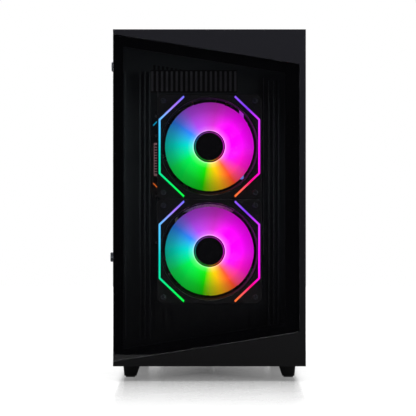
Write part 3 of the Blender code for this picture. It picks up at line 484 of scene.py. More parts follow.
# --- front -----------------------------------------------------------------------------
BX0, BX1, FRONT_Y, BEZEL_BACK, BASE_Z, TOP_Z = ends("front_bezel")
GX0, GX1, _, GLASS_BACK, GZ0, GZ1 = ends("front_glass")
CX = (BX0 + BX1) / 2
PANE_TOP = (GZ1, GZ1 - 34.1)            # height of the pane's top edge at its left and right
PANE_BOT = (GZ0, GZ0 + 33.3)


def pane_z(x, edge):
    return mix(edge[0], edge[1], (x - GX0) / (GX1 - GX0))


def pane(left, right, top, bottom, radii, grow=0.0):
    """A four-sided outline that follows the pane's slopes, set in from its edges."""
    x0, x1 = GX0 + left, GX1 - right + grow
    pts = [(x0, pane_z(x0, PANE_BOT) + bottom - grow), (x1, pane_z(x1, PANE_BOT) + bottom - grow),
           (x1, pane_z(x1, PANE_TOP) - top + grow), (x0, pane_z(x0, PANE_TOP) - top + grow)]
    return rounded(pts, radii)


EDGE_R = (0.0, 3.6, 3.6, 0.0)
bezel = Shape()
seat = pane(0, 0, 0, 0, EDGE_R, 0.4)
outline = [(BX0, BASE_Z), (BX1, BASE_Z), (BX1, TOP_Z), (BX0, TOP_Z)]
c_shape = outline + seat[::-1]
bezel.slab("Y", FRONT_Y, GLASS_BACK + 0.3, c_shape, (), (0.12, 0.0))
window = pane(11.1, 15.9, 12.0, 12.0, 2.0)
bezel.slab("Y", GLASS_BACK + 0.3, GLASS_BACK + 2.8, outline, [window])
bezel.show("bezel_face", "front_panel", BEZEL, (), "plastic_satin")
# Painted highlight: a fine grey bead follows the recess the pane sits in, standing in for the light its
# edge catches.
highlight_bead = Shape()
for x0, z0, x1, z1 in ((BX0 + 1.0, pane_z(BX0 + 1.0, PANE_TOP) + 0.7, GX1 - 3.4,
                        pane_z(GX1 - 3.4, PANE_TOP) + 0.7),
                       (GX1 + 0.7, pane_z(GX1, PANE_TOP) - 3.6, GX1 + 0.7, pane_z(GX1, PANE_BOT) + 3.6),
                       (BX0 + 1.0, pane_z(BX0 + 1.0, PANE_BOT) - 0.7, GX1 - 3.4,
                        pane_z(GX1 - 3.4, PANE_BOT) - 0.7)):
    highlight_bead.tube([(x0, FRONT_Y + 0.34, z0), (x1, FRONT_Y + 0.34, z1)], 0.34, 8)
highlight_bead.show("pane_painted_highlight", "front_panel", GREY_TRIM_AND_HIGHLIGHT, (), "plastic_satin")
bezel = Shape()
WALL = 2.6
bezel.slab("Y", GLASS_BACK + 2.8, BEZEL_BACK, outline,
           [round_rect(BX0 + WALL, BX1 - WALL, BASE_Z + WALL, TOP_Z - WALL, 1.5)], (0.0, 0.4))
bezel = bezel.show("bezel_shell", "front_panel", BEZEL, "front_bezel", "plastic_satin")
vents = Shape()
for k in range(12):
    z = BASE_Z + 62.0 + 22.0 * k
    for x in (BX0, BX1):
        vents.slab("X", x - 5, x + 5, round_rect(FRONT_Y + 13.5, FRONT_Y + 35.5, z, z + 9.0, 2.0))
carve(bezel, vents)

Shape().slab("Y", FRONT_Y, GLASS_BACK, pane(0, 0, 0, 0, EDGE_R), (), 0.4).show(
    "front_pane", "front_panel", GLASS_FRONT, "front_glass", "front_glass")
Shape().slab("Y", GLASS_BACK + 0.06, GLASS_BACK + 0.2, pane(0.4, 0.4, 0.4, 0.4, EDGE_R), [window]).show(
    "front_pane_border", "front_panel", FRIT, (), "front_glass")

# Ribs moulded into the bezel's cavity, beside the fans.
ribs = Shape()
for sx in (-1, 1):
    for dx in (68.5, 74.0, 79.5, 97.0):
        x = CX + sx * dx
        ribs.box(x - 0.7, x + 0.7, BEZEL_BACK - 17.0, BEZEL_BACK - 0.2, BASE_Z + 30,
                 TOP_Z - 45 - (10 if sx > 0 else 0), 0.2)
ribs.show("bezel_ribs", "front_panel", INNER, (), "plastic_satin")

# Slats above the fans, and the lighting controller beside the upper one.
slats = Shape()
SLAT_Y = middle("chassis_front")[1] - 9.2
for k in range(18):
    x = mix(CX - 66.0, CX + 30.0, k / 17)
    slats.box(x - 1.3, x + 1.3, SLAT_Y - 1.8, SLAT_Y, 331.0, 354.0, 0.4)
slats.box(CX - 68.0, CX + 32.0, SLAT_Y - 0.6, SLAT_Y, 329.5, 355.5, 0.2, 1)
slats.show("intake_slats", "case", [GREY_TRIM_AND_HIGHLIGHT, PLASTIC], (), "plastic_black")
control = Shape()
control.box(CX - 64.0, CX - 58.9, SLAT_Y - 9.0, SLAT_Y, 233.0, 271.0, 0.8)
for k in range(11):
    z = mix(236.5, 267.5, k / 10)
    control.box(CX - 63.2, CX - 59.7, SLAT_Y - 9.4, SLAT_Y - 8.9, z - 0.9, z + 0.9, 0.1, 1)
for z in (210.0, 302.0, 156.0, 279.5, 224.5):
    control.rod("Y", CX - 61.4, z, 1.6 if z > 205 else 1.2, SLAT_Y - 6.0, SLAT_Y, 0.4, 16, 2)
# Two thin grey strips: painted highlights standing in for faint lit lines beside the fans.
for x, z0, z1 in ((CX - 59.6, 160.0, 336.0), (CX + 62.6, 142.0, 346.0)):
    control.box(x - 0.3, x + 0.3, SLAT_Y - 3.0, SLAT_Y, z0, z1, 0.1, 3)
control.show("light_controller", "case", [PINK_TRIM, PLASTIC, ZINC, GREY_TRIM_AND_HIGHLIGHT], (), "plastic_black")
for name, rgb, z0, z1 in (("upper", (0, 180, 230), 291.0, 296.5), ("lower", (255, 120, 40), 224.5, 219.0)):
    tail = Shape().slab("Y", SLAT_Y - 9.6, SLAT_Y - 8.8,
                        [(CX - 64.8, z0 - 0.8), (CX - 59.2, z1 - 0.8), (CX - 59.2, z1 + 0.8),
                                                       (CX - 64.8, z0 + 0.8)])
    tail.box(CX - 62.6, CX - 61.4, SLAT_Y - 8.9, SLAT_Y, (z0 + z1) / 2 - 0.6, (z0 + z1) / 2 + 0.6, 0.0, 1)
    tail.show(f"light_tail_{name}", "case", [glow(f"tail_light_{name}", (0, 0, 0), [(0, rgb), (360, rgb)],
                                                  1.2), PLASTIC], (),
              "light_strip")

# --- front fans ------------------------------------------------------------------------
HUB_R = 18.0
TIP_R = 51.0


def blades(shape, centre, axis, r0, r1, depth, count, sweep, lean, turn=1, thick=1.1, mat=0, cup=1.6):
    """Swept, twisted blades from radius r0 to r1; depth is the blade's rise along the axis."""
    cu, cv, cw = {"Y": (centre[0], centre[2], centre[1]), "Z": centre}[axis]
    rows, cols = 9, 7
    for b in range(count):
        start = math.tau * b / count
        verts = []
        for layer in (0, 1):
            for i in range(rows):
                f = i / (rows - 1)
                r = mix(r0, r1, f)
                for j in range(cols):
                    g = j / (cols - 1)
                    a = start + turn * math.radians(lean * f ** 1.4 + sweep * (g - 0.5) * (1 + 0.12 * f))
                    w = depth * (g - 0.5) * (1 - 0.25 * f) + cup * math.sin(math.pi * g) * (1 - 0.4 * f)
                    t = thick * (0.35 + 0.65 * math.sin(math.pi * min(max(g, 0.04), 0.96))) / 2
                    verts.append(place(axis, cu + r * math.cos(a), cv + r * math.sin(a),
                                       cw + w + (t if layer else -t)))
        faces = []
        size = rows * cols
        for i in range(rows - 1):
            for j in range(cols - 1):
                a = i * cols + j
                faces.append((a, a + 1, a + cols + 1, a + cols))
                faces.append((size + a + cols, size + a + cols + 1, size + a + 1, size + a))
        rim = [j for j in range(cols)] + [i * cols + cols - 1 for i in range(1, rows)]
        rim += [(rows - 1) * cols + j for j in range(cols - 2, -1,
                                                     -1)] + [i * cols for i in range(rows - 2, 0, -1)]
        for a, b2 in zip(rim, rim[1:] + rim[:1]):
            faces.append((a, b2, b2 + size, a + size))
        shape.add(verts, faces, mat)
    return shape


def arm(shape, axis, cu, cv, degrees, r0, r1, lo, hi, w0, w1, edge=0.0):
    """A radial arm from radius r0 to r1; w0 and w1 are half its width at each end."""
    a = math.radians(degrees)
    u, v = math.cos(a), math.sin(a)
    shape.slab(axis, lo, hi, [(cu + u * r - v * w, cv + v * r + u * w)
                              for r, w in ((r0, w0), (r0, -w0), (r1, -w1), (r1, w1))], (), edge)

def hub_cap(shape, axis, centre, w0, w1, r, edge, wall, n):
    """A fan's hub from w0 to w1, hollow at its far side; edge is the depth of its chamfer."""
    shape.lathe(axis, centre, [(0.01, w0), (r - 1.4, w0), (r, w0 + edge), (r, w1), (r - wall, w1),
                               (r - wall, w1 - 2.0), (0.01, w1 - 2.0)], n)

def fan_body(node, bore, spider_high):
    """A square fan frame that faces along y: bore, corner holes, arms and motor plate."""
    x0, x1, y0, y1, z0, z1 = ends(node)
    cu, cv = (x0 + x1) / 2, (z0 + z1) / 2
    half = (x1 - x0) / 2
    body = Shape()
    screws = [(cu + sx * FAN_SCREW, cv + sz * FAN_SCREW) for sx, sz in CORNERS]
    holes = [circle(cu, cv, bore, 64)] + [circle(u, v, 2.3, 12) for u, v in screws]
    square = round_rect(cu - half, cu + half, cv - half, cv + half, 7.0, 5)
    flange = 5.0
    body.slab("Y", y0, y0 + flange, square, holes, (0.6, 0.3))
    body.slab("Y", y1 - flange, y1, square, holes, (0.3, 0.6))
    body.slab("Y", y0 + flange, y1 - flange, circle(cu, cv, bore + 2.6, 64), holes[:1])
    for u, v in screws:
        body.rod("Y", u, v, 4.2, y0 + flange - 0.1, y1 - flange + 0.1, 0.0, 16, 0, 2.3)
    lo, hi = (y1 - 3.0, y1 - 0.3) if spider_high else (y0 + 0.3, y0 + 3.0)
    body.rod("Y", cu, cv, 20.0, lo, hi, 0.4, 40)
    for k in range(4):
        arm(body, "Y", cu, cv, 57 + 90 * k, 18, bore + 1, lo + 0.2, hi - 0.2, 2.4, 2.4 * 0.7, 0.3)
    return body, (cu, cv, y0, y1), screws

def screw_head(shape, axis, u, v, w, out, r=3.4, mat=0):
    """A cross-head screw standing on the plane w; out is +1 or -1 along the axis."""
    top = w + out * 1.5
    cross = []
    for k in range(4):
        a = math.radians(90 * k + 20)
        for da, rr in ((-0.28, r * 0.62), (0.28, r * 0.62), (0.785, r * 0.22)):
            cross.append((u + rr * math.cos(a + da), v + rr * math.sin(a + da)))
    lo, hi = min(w, top), max(w, top)
    shape.slab(axis, lo, hi, circle(u, v, r, 20), [cross],
               (0.5 if out < 0 else 0.0, 0.5 if out > 0 else 0.0), mat)
    deep = w + out * 0.4
    shape.rod(axis, u, v, r * 0.7, min(w, deep), max(w, deep), 0.0, 12, mat)


OCTAGON = ((29.5, 58.1), (57.9, 31.1), (57.9, -31.1), (29.5, -58.1))
STRIP = 2.1
SIDE_LIGHT = {
    "right": [(0, MAGENTA), (25, (220, 50, 250)), (45, (120, 50, 230)), (90, (150, 110, 255)),
              (270, (255, 120, 40)), (300, (255, 110, 50)), (320, (255, 0, 120)), (340, MAGENTA),
              (360, MAGENTA)],
    "left": [(0, (80, 110, 255)), (115, (100, 110, 255)), (130, (160, 110, 240)), (155, (80, 190, 255)),
             (185, (0, 200, 190)), (220, (0, 225, 110)), (240, (0, 235, 70)), (300, (0, 235, 70)),
             (360, (80, 110, 255))],
}
# Painted highlight: the colours the bore's lip glows with, standing in for fan light caught on its edge.
LIP_PAINTED_HIGHLIGHT = [(0, (100, 10, 110)), (60, (70, 10, 80)), (100, (20, 10, 30)), (180, (10, 20, 20)),
             (250, (10, 30, 10)), (290, (70, 30, 10)), (360, (100, 10, 110))]
for which in ("upper", "lower"):
    node = f"front_fan_{which}_frame"
    body, (cu, cv, y0, y1), screws = fan_body(node, 56.0, True)
    # A thin lip round the bore that glows: a painted highlight of the fan's light caught on it, purple on
    # the right and dim on the left.
    body.rod("Y", cu, cv, 55.4, y0 + 0.3, y0 + 2.2, 0.2, 64, 1, 53.9)
    for u, v in screws:
        screw_head(body, "Y", u, v, y0 + 0.3, -1, 3.2, 2)
    hub = (cu, (y0 + y1) / 2, cv)
    lip_painted_highlight = glow(f"bore_lip_painted_highlight_{which}", hub, LIP_PAINTED_HIGHLIGHT, 1.0)
    body.show(f"fan_{which}_housing", "case", [PLASTIC, lip_painted_highlight, SCREW], node, "plastic_black")
    fade = ((18.0, 1.2, 0.2), (20.0, 1.1, 0.05), (25.0, 1.0, 0.0), (32.0, 0.8, 0.0), (42.0, 0.5, 0.0),
            (51.0, 0.35, 0.0))
    light = glow(f"fan_light_{which}", hub, RAINBOW, 3.2, fade)
    ring_light = glow(f"hub_ring_{which}", hub, RAINBOW, 1.1)
    _, _, ry0, ry1, _, _ = ends(f"front_fan_{which}_rotor")
    rotor = Shape()
    rotor.lathe("Y", (cu, 0, cv), [(15.2, ry0 + 1.2), (15.6, ry0 + 0.8), (17.6, ry0 + 0.8),
                                   (18.0, ry0 + 1.2),
                                   (18.0, ry1), (15.0, ry1), (15.0, ry0 + 3.0), (15.2, ry0 + 3.0)], 64)
    rotor.rod("Y", cu, cv, 15.1, ry0 + 1.0, ry0 + 3.0, 0.3, 48, 1)
    rotor.rod("Y", cu, cv, 16.75, ry0 + 0.35, ry0 + 0.82, 0.0, 64, 2, 16.0)
    blades(rotor, (cu, (ry0 + ry1) / 2 - 0.6, cv), "Y", HUB_R - 0.4, TIP_R, 13.0, 9, 46.0, 16.0, 1, 1.1, 3)
    rotor.show(f"fan_{which}_blades", f"front_fan_{which}", [PLASTIC, GLOSS, ring_light, light],
               f"front_fan_{which}_rotor", "fan_clear")
    for side, sx in (("left", -1), ("right", 1)):
        _, _, sy0, sy1, _, _ = ends(f"fan_light_{which}_{side}")
        outer = [(cu + sx * u, cv + v) for u, v in OCTAGON]
        inner = [(cu + sx * u, cv + v) for u, v in (
            (OCTAGON[0][0] - 1.0, OCTAGON[0][1] - 2.0), (OCTAGON[1][0] - STRIP, OCTAGON[1][1] - 0.9),
            (OCTAGON[2][0] - STRIP, OCTAGON[2][1] + 0.9), (OCTAGON[3][0] - 1.0, OCTAGON[3][1] + 2.0))]
        strip_light = glow(f"strip_{which}_{side}", hub, SIDE_LIGHT[side], 2.3)
        Shape().slab("Y", sy0, sy1, outer + inner[::-1], (), 0.35).show(
            f"fan_strip_{which}_{side}", "case", strip_light, f"fan_light_{which}_{side}", "light_strip")

# --- feet ------------------------------------------------------------------------------
for end in ("front", "rear"):
    for side in ("left", "right"):
        name = f"foot_{end}_{side}"
        x0, x1, y0, y1, z0, z1 = ends(name)
        taper = (1.3, 5.0) if side == "left" else (5.0, 1.3)
        foot = Shape()
        levels = [(z0 + 1.6, 1.0), (z0 + 2.2, 0.96), (z1 - 1.0, 0.05), (z1, 0.0)]
        loops = []
        for z, t in levels:
            loops.append([(u, v, z) for u, v in round_rect(x0 + taper[0] * t, x1 - taper[1] * t,
                                                           y0 + 2.5 * t, y1 - 2.5 * t, 2.2, 4)])
        n = len(loops[0])
        verts = [p for loop in loops for p in loop]
        faces = [tuple(range(n)), tuple(range(3 * n, 4 * n))]
        for k in range(3):
            faces += [(k * n + i, k * n + (i + 1) % n, (k + 1) * n + (i + 1) % n,
                       (k + 1) * n + i) for i in range(n)]
        foot.add(verts, faces)
        foot.slab("Z", z0, z0 + 1.7, round_rect(x0 + taper[0] + 1.5, x1 - taper[1] - 1.5, y0 + 4.0,
                                                y1 - 4.0, 2.0),
                  (), (0.4, 0.0), 1)
        foot.show(name + "_block", "case", [BEZEL, RUBBER], name, "foot_rubber")


# --- screws ----------------------------------------------------------------------------
def thumbscrew(node, body, axis, out):
    """A knurled thumbscrew; out is the way its head faces along the axis."""
    x0, x1, y0, y1, z0, z1 = ends(node)
    if axis == "X":
        u, v, lo, hi = (y0 + y1) / 2, (z0 + z1) / 2, x0, x1
    else:
        u, v, lo, hi = (x0 + x1) / 2, (z0 + z1) / 2, y0, y1
    head_r = (z1 - z0) / 2 + 0.05
    head = 4.2 if axis == "X" else hi - 191.3
    teeth = 26
    knurl = []
    for k in range(teeth):
        a = math.tau * k / teeth
        knurl += [(u + (head_r - 0.45) * math.cos(a), v + (head_r - 0.45) * math.sin(a)),
                  (u + head_r * math.cos(a + math.pi / teeth), v + head_r * math.sin(a + math.pi / teeth))]
    s = Shape()
    top, root = (lo, lo + head) if out < 0 else (hi, hi - head)
    s.slab(axis, min(top, root), max(top, root), knurl, (), 0.35)
    s.rod(axis, u, v, head_r - 1.2, min(top, top - out * 0.5), max(top, top - out * 0.5), 0.2, 32)
    inner_end = hi if out < 0 else lo
    s.rod(axis, u, v, 1.9, min(root, inner_end), max(root, inner_end), 0.3, 16)
    for k in range(5):
        w = mix(root, inner_end, 0.3 + 0.14 * k)
        s.rod(axis, u, v, 2.15, w - 0.2, w + 0.2, 0.1, 16)
    s.show(node + "_metal", body, SCREW, node, "screw_metal")


for row in ("upper", "lower"):
    for end in ("front", "rear"):
        thumbscrew(f"glass_screw_{end}_{row}", f"glass_thumbscrew_{end}_{row}", "X", -1)
    thumbscrew(f"panel_screw_{row}", f"panel_thumbscrew_{row}", "Y", 1)


def hexes(inside_of, u0, u1, v0, v1, pitch, r):
    """Hexagonal holes on a staggered grid, where inside_of(u, v) allows."""
    out = []
    row = 0
    v = v0 + r
    while v <= v1 - r:
        u = u0 + r + (pitch / 2 if row % 2 else 0.0)
        while u <= u1 - r:
            if inside_of(u, v):
                out.append(circle(u, v, r, 6, math.pi / 6))
            u += pitch
        v += pitch * 0.866
        row += 1
    return out


def everywhere(u, v):
    return True


# --- sheet metal -----------------------------------------------------------------------
RX0, RX1, _, REAR_Y, RZ0, RZ1 = ends("chassis_rear")
SHEET = 1.2
fan_x, _, fan_z = middle("rear_fan_frame")
io_x0, io_x1, _, _, io_z0, io_z1 = ends("rear_port_block")
card_x0, _, _, _, _, card_z1 = ends("graphics_board")
psu_x0, psu_x1, PSU_FRONT, PSU_BACK, psu_z0, psu_z1 = ends("power_supply")
screw_z = [middle(f"panel_screw_{row}")[2] for row in ("upper", "lower")]
screw_x = middle("panel_screw_upper")[0]
SLOT_PITCH = 20.3
slot_z = [card_z1 - 8.5 - k * SLOT_PITCH for k in range(4)]
rear = Shape()
cutouts = hexes(lambda u, v: math.hypot(u - fan_x, v - fan_z) < 52.5, fan_x - 56, fan_x + 56,
                fan_z - 56, fan_z + 56, 7.4, 3.7)
cutouts += [circle(fan_x + sx * FAN_SCREW, fan_z + sz * FAN_SCREW, 2.2, 12) for sx, sz in CORNERS]
cutouts.append(rect(io_x0 - 0.3, io_x1 + 0.3, io_z0 - 0.3, io_z1 + 0.3))
cutouts.append(rect(card_x0 + 3.5, card_x0 + 113.5, slot_z[1] - 7.0, slot_z[0] + 7.0))
cutouts += [rect(card_x0 + 3.5, card_x0 + 113.5, z - 6.6, z + 6.6) for z in slot_z[2:]]
cutouts.append(rect(psu_x0 + 4.0, psu_x1 - 4.0, psu_z0 + 4.0, psu_z1 - 4.0))
cutouts += hexes(everywhere, RX0 + 8, RX0 + 122, 221.0, 244.0, 7.4, 3.4)
cutouts += [circle(screw_x, z, 2.6, 16) for z in screw_z]
rear.slab("Y", REAR_Y - SHEET, REAR_Y, round_rect(RX0, RX1, RZ0, RZ1, 1.0, 2), cutouts)
side_y = middle("glass_screw_rear_upper")[1]
rear.slab("X", RX0, RX0 + SHEET, rect(REAR_Y - 19.0, REAR_Y - SHEET, RZ0, RZ1),
          [circle(side_y, middle(f"glass_screw_rear_{row}")[2], 2.6, 16) for row in ("upper", "lower")])
for sx, sz in CORNERS:
    screw_head(rear, "Y", fan_x + sx * FAN_SCREW, fan_z + sz * FAN_SCREW, REAR_Y + 0.05, 1, 3.6, 1)
for x, z in ((psu_x0 + 6.0, psu_z1 + 3.0), (psu_x1 - 6.0, psu_z1 + 3.0), (RX0 + 4.0, psu_z1 + 20.0)):
    rear.lathe("Y", (x, REAR_Y, z), [(0.01, 0.0), (2.2, 0.0), (2.0, 0.5), (1.2, 0.8), (0.01, 0.9)], 16)
for z in slot_z:
    screw_head(rear, "Y", card_x0 - 1.5, z, REAR_Y + 0.05, 1, 2.8, 1)
rear.show("rear_plate", "case", [STEEL, SCREW], "chassis_rear", "steel_black")
for k, z in enumerate(slot_z[2:]):
    cover = Shape().slab("Y", REAR_Y - SHEET - 1.0, REAR_Y - SHEET - 0.1,
                         rect(card_x0 + 1.0, card_x0 + 116.0, z - 9.2, z + 9.2),
                         [round_rect(card_x0 + 12.0 + 12.4 * i, card_x0 + 21.0 + 12.4 * i, z - 3.0,
                                     z + 3.0, 1.4, 3)
                          for i in range(8)])
    cover.show(f"slot_cover_{k + 1}", "case", STEEL, (), "steel_black")

# Side panels.
_, PX1, PY0, PY1, PZ0, PZ1 = ends("right_panel")
right = Shape()
vent = hexes(everywhere, PY0 + 22, PY0 + 60, PZ0 + 70, PZ1 - 70, 6.6, 2.6)
right.slab("X", PX1 - SHEET, PX1, round_rect(PY0, PY1 - 0.4, PZ0, PZ1, 1.2, 3), vent, (0.0, 0.35))
right.slab("Y", PY1 - SHEET, PY1, rect(PX1 - 15.0, PX1 - SHEET, PZ0, PZ1),
           [circle(screw_x, z, 2.6, 16) for z in screw_z], (0.0, 0.3))
right.box(PX1 - 4.4, PX1 - SHEET + 0.1, PY0 + 2.0, PY0 + 3.0, PZ0 + 6, PZ1 - 6)
right.show("right_cover_plate", "right_cover", STEEL, "right_panel", "steel_black")

LX0, LX1, LY0, LY1, LZ0, LZ1 = ends("lower_side_panel")
vent = hexes(everywhere, LY0 + 26, LY0 + 128, LZ0 + 22, LZ1 - 22, 7.4, 3.0)
vent += hexes(everywhere, LY1 - 150, LY1 - 24, LZ0 + 22, LZ1 - 22, 7.4, 3.0)
Shape().slab("X", LX0, LX1, round_rect(LY0, LY1, LZ0, LZ1, 1.2, 3), vent, (0.3, 0.0)).show(
    "lower_left_plate", "case", STEEL, "lower_side_panel", "steel_black")

# Side window: glass, printed border behind it and a washer at each screw.
WX0, WX1, WY0, WY1, WZ0, WZ1 = ends("side_glass")
points = [(middle(f"glass_screw_{end}_{row}")[1], middle(f"glass_screw_{end}_{row}")[2])
          for end in ("front", "rear") for row in ("upper", "lower")]
wide = [circle(y, z, 2.9, 20) for y, z in points]
Shape().slab("X", WX0, WX1, round_rect(WY0, WY1, WZ0, WZ1, 4.0, 5), wide, 0.4).show(
    "side_window_pane", "side_window", GLASS_SIDE, "side_glass", "side_glass")
Shape().slab("X", WX1 - 0.02, WX1 + 0.12, round_rect(WY0 + 0.6, WY1 - 0.6, WZ0 + 0.6, WZ1 - 0.6, 3.6, 5),
             [round_rect(WY0 + 22, WY1 - 22, WZ0 + 12, WZ1 - 12, 3.0, 4)] + wide).show(
    "side_window_border", "side_window", FRIT, (), "side_glass")
washers = Shape()
for y, z in points:
    washers.rod("X", y, z, 4.4, WX0 - 0.28, WX0 + 0.02, 0.0, 24, 0, 2.2)
    washers.rod("X", y, z, 2.85, WX0 + 0.02, WX1, 0.0, 24, 0, 2.1)
washers.show("side_window_washers", "side_window", RUBBER, (), "side_glass")

# --- top -------------------------------------------------------------------------------
TX0, TX1, TY0, TY1, TZ0, TZ1 = ends("chassis_top")
FX0, FX1, FY0, FY1, FZ0, FZ1 = ends("top_filter")
HX0, HX1, HY0, HY1, HZ0, HZ1 = ends("top_port_block")
vent = hexes(everywhere, FX0 + 6, FX1 - 6, FY0 + 6, FY1 - 6, 8.6, 4.0)
Shape().slab("Z", TZ0, TZ1, round_rect(TX0, TX1, TY0, TY1, 1.2, 3),
             vent + [rect(HX0 - 0.3, HX1 + 0.3, HY0 - 0.3, HY1 + 0.3)], (0.0, 0.3)).show(
    "top_plate", "case", STEEL, "chassis_top", "steel_black")
net = Shape()
net.slab("Z", FZ0, FZ1, round_rect(FX0, FX1, FY0, FY1, 5.0, 5),
         [round_rect(FX0 + 4.5, FX1 - 4.5, FY0 + 4.5, FY1 - 4.5, 2.5, 4)], 0.25)
net.box((FX0 + FX1) / 2 - 1.5, (FX0 + FX1) / 2 + 1.5, FY0 + 4, FY1 - 4, FZ0, FZ1 - 0.2, 0.2)
for t in (1 / 3, 2 / 3):
    y = mix(FY0, FY1, t)
    net.box(FX0 + 4, FX1 - 4, y - 1.5, y + 1.5, FZ0, FZ1 - 0.2, 0.2)
WIRE = 0.22
x = FX0 + 6
while x < FX1 - 5:
    net.box(x - WIRE, x + WIRE, FY0 + 4, FY1 - 4, FZ0 + 0.45, FZ0 + 0.75, 0.0, 1)
    x += 2.0
y = FY0 + 6
while y < FY1 - 5:
    net.box(FX0 + 4, FX1 - 4, y - WIRE, y + WIRE, FZ0 + 0.55, FZ0 + 0.85, 0.0, 1)
    y += 2.0
net.show("top_dust_net", "roof_filter", [PLASTIC, RUBBER], "top_filter", "filter")

# Top controls: the block, its sockets and two buttons.
BY = (HY0 + HY1) / 2
power_x, _, _ = middle("power_button")
reset_x, _, _ = middle("reset_button")
USB_X = [HX0 + 30.0, HX0 + 50.0, HX0 + 70.0]
JACK_X = [HX0 + 92.0, HX0 + 100.0]
panel = Shape()
openings = [circle(power_x, BY, 6.2, 40), circle(reset_x, BY, 3.1, 24)]
openings += [round_rect(x, x + 13.6, BY - 3.2, BY + 3.2, 0.6, 2) for x in USB_X]
openings += [circle(x, BY, 2.6, 24) for x in JACK_X]
panel.slab("Z", HZ1 - 3.0, HZ1, round_rect(HX0, HX1, HY0, HY1, 3.0, 5), openings, (0.0, 0.5))
panel.slab("Z", HZ0, HZ1 - 3.0, rect(HX0 + 1.2, HX1 - 1.2, HY0 + 1.2, HY1 - 1.2),
           [circle(power_x, BY, 6.2, 40), circle(reset_x, BY, 3.1, 24)]
           + [rect(x - 0.2, x + 13.8, BY - 3.4, BY + 3.4) for x in USB_X] + [circle(x, BY, 2.7,
                                                                                    24) for x in JACK_X])
for k, x in enumerate(USB_X):
    panel.slab("Z", HZ1 - 12.0, HZ1 - 0.5, rect(x, x + 13.6, BY - 3.2, BY + 3.2),
               [rect(x + 0.4, x + 13.2, BY - 2.8, BY + 2.8)], 0.0, 1)
    panel.box(x + 1.2, x + 12.4, BY - 0.3, BY + 1.7, HZ0 + 0.5, HZ1 - 1.5, 0.1, 2 if k else 3)
    for j in range(4):
        panel.box(x + 2.6 + 2.4 * j, x + 3.6 + 2.4 * j, BY - 0.55, BY - 0.3, HZ1 - 9.0, HZ1 - 2.0, 0.0, 4)
    panel.box(x - 0.2, x + 13.8, BY - 3.4, BY + 3.4, HZ0 - 0.6, HZ0 + 0.2, 0.0, 0)
for x in JACK_X:
    panel.rod("Z", x, BY, 2.6, HZ1 - 8.0, HZ1 - 0.2, 0.1, 24, 1, 1.8)
panel.show("top_sockets", "case", [PLASTIC, ZINC, BLUE, PLASTIC, GOLD], "top_port_block", "plastic_black")
white_ring = glow("power_ring", (0, 0, 0), [(0, (215, 235, 255)), (360, (215, 235, 255))], 1.2)
for node, body, r in (("power_button", "power_key", 5.6), ("reset_button", "reset_key", 2.6)):
    x, _, _ = middle(node)
    _, _, _, _, z0, z1 = ends(node)
    key = Shape()
    key.lathe("Z", (x, BY, 0), [(0.01, z0), (r - 0.4, z0), (r, z0 + 0.4), (r, z1 - 0.5), (r - 0.5, z1),
                                (r * 0.72, z1),
                                (r * 0.5, z1 - 0.25), (0.01, z1 - 0.35)], 48)
    if r > 4:
        key.rod("Z", x, BY, r * 0.86, z1 - 0.05, z1 + 0.03, 0.0, 48, 1, r * 0.76)
    key.show(node + "_cap", body, [GLOSS, white_ring], node, "plastic_satin")

# --- rear fan and the processor cooler's fan -------------------------------------------
for node, rotor_node, ride_on, high in (("rear_fan_frame", "rear_fan_rotor", "rear_fan", False),
                                        ("cooler_fan_frame", "cooler_fan_rotor", "cooler_fan", True)):
    body, (cu, cv, y0, y1), _ = fan_body(node, 57.0, high)
    for sx, sz in CORNERS:
        body.box(cu + sx * 50.9, cu + sx * 58.4, y0 - 0.15, y0 + 0.1, cv + sz * 50.9, cv + sz * 58.4, 0.0,
                 1)
    body.show(node + "_moulding", "case", [PLASTIC, RUBBER], node, "plastic_black")
    _, _, ry0, ry1, _, _ = ends(rotor_node)
    hub = Shape()
    hub_cap(hub, "Y", (cu, 0, cv), ry0, ry1, 19.0, 1.4, 1.5, 48)
    hub.rod("Y", cu, cv, 14.0, ry0 - 0.12, ry0 + 0.05, 0.0, 40, 1)
    blades(hub, (cu, (ry0 + ry1) / 2, cv), "Y", 18.4, 53.0, 13.5, 7, 46.0, 18.0)
    hub.show(rotor_node + "_blades", ride_on, [PLASTIC, GREY], rotor_node, "fan_black")

# --- motherboard -----------------------------------------------------------------------
MX, _, MY0, MY1, MZ0, MZ1 = ends("motherboard")
pcb, tree, shader = principled("circuit_board")
shader.inputs["Roughness"].default_value = 0.38
tracks = add_node(tree, "TexVoronoi", {"Vector": position(tree), "Scale": 260.0},
                  feature="DISTANCE_TO_EDGE", distance="CHEBYCHEV")
copper = colour_stops(tree, tracks.outputs["Distance"],
                      [(0.02, (0.035, 0.04, 0.045, 1)), (0.07, (0.010, 0.012, 0.014, 1))])
tree.links.new(copper[0], shader.inputs["Base Color"])

board = Shape()
board.slab("X", MX, MX + 1.6, round_rect(MY0, MY1, MZ0, MZ1, 2.0, 3),
           [circle(y, z, 2.0, 16) for y in (MY0 + 6, MY0 + 97, MY1 - 20)
            for z in (MZ0 + 10, MZ0 + 86, MZ1 - 6)])
for y in (MY0 + 6, MY0 + 97, MY1 - 20):
    for z in (MZ0 + 10, MZ0 + 86, MZ1 - 6):
        board.rod("X", y, z, 3.2, MX + 1.6, ends("motherboard")[1], 0.2, 6, 2)
        screw_head(board, "X", y, z, MX, -1, 3.0, 2)
rng = random.Random(11)
keep_out = [ends(n) for n in ("vrm_heatsink", "chipset_heatsink", "memory_sockets", "expansion_slot",
                              "rear_port_block")]
keep_out.append((0, 0, 90.0, 138.0, 282.0, 330.0))


def free(y0, y1, z0, z1):
    return not any(y0 < k[3] + 1 and y1 > k[2] - 1 and z0 < k[5] + 1 and z1 > k[4] - 1 for k in keep_out)


def part_on_board(y, z, w, h, tall, mat, edge=0.2):
    """One component, if there is room; its place is then taken."""
    if free(y, y + w, z, z + h) and y > MY0 + 2 and y + w < MY1 - 1 and z > MZ0 + 2 and z + h < MZ1 - 2:
        board.box(MX - tall, MX + 0.05, y, y + w, z, z + h, edge, mat)
        keep_out.append((0, 0, y, y + w, z, z + h))


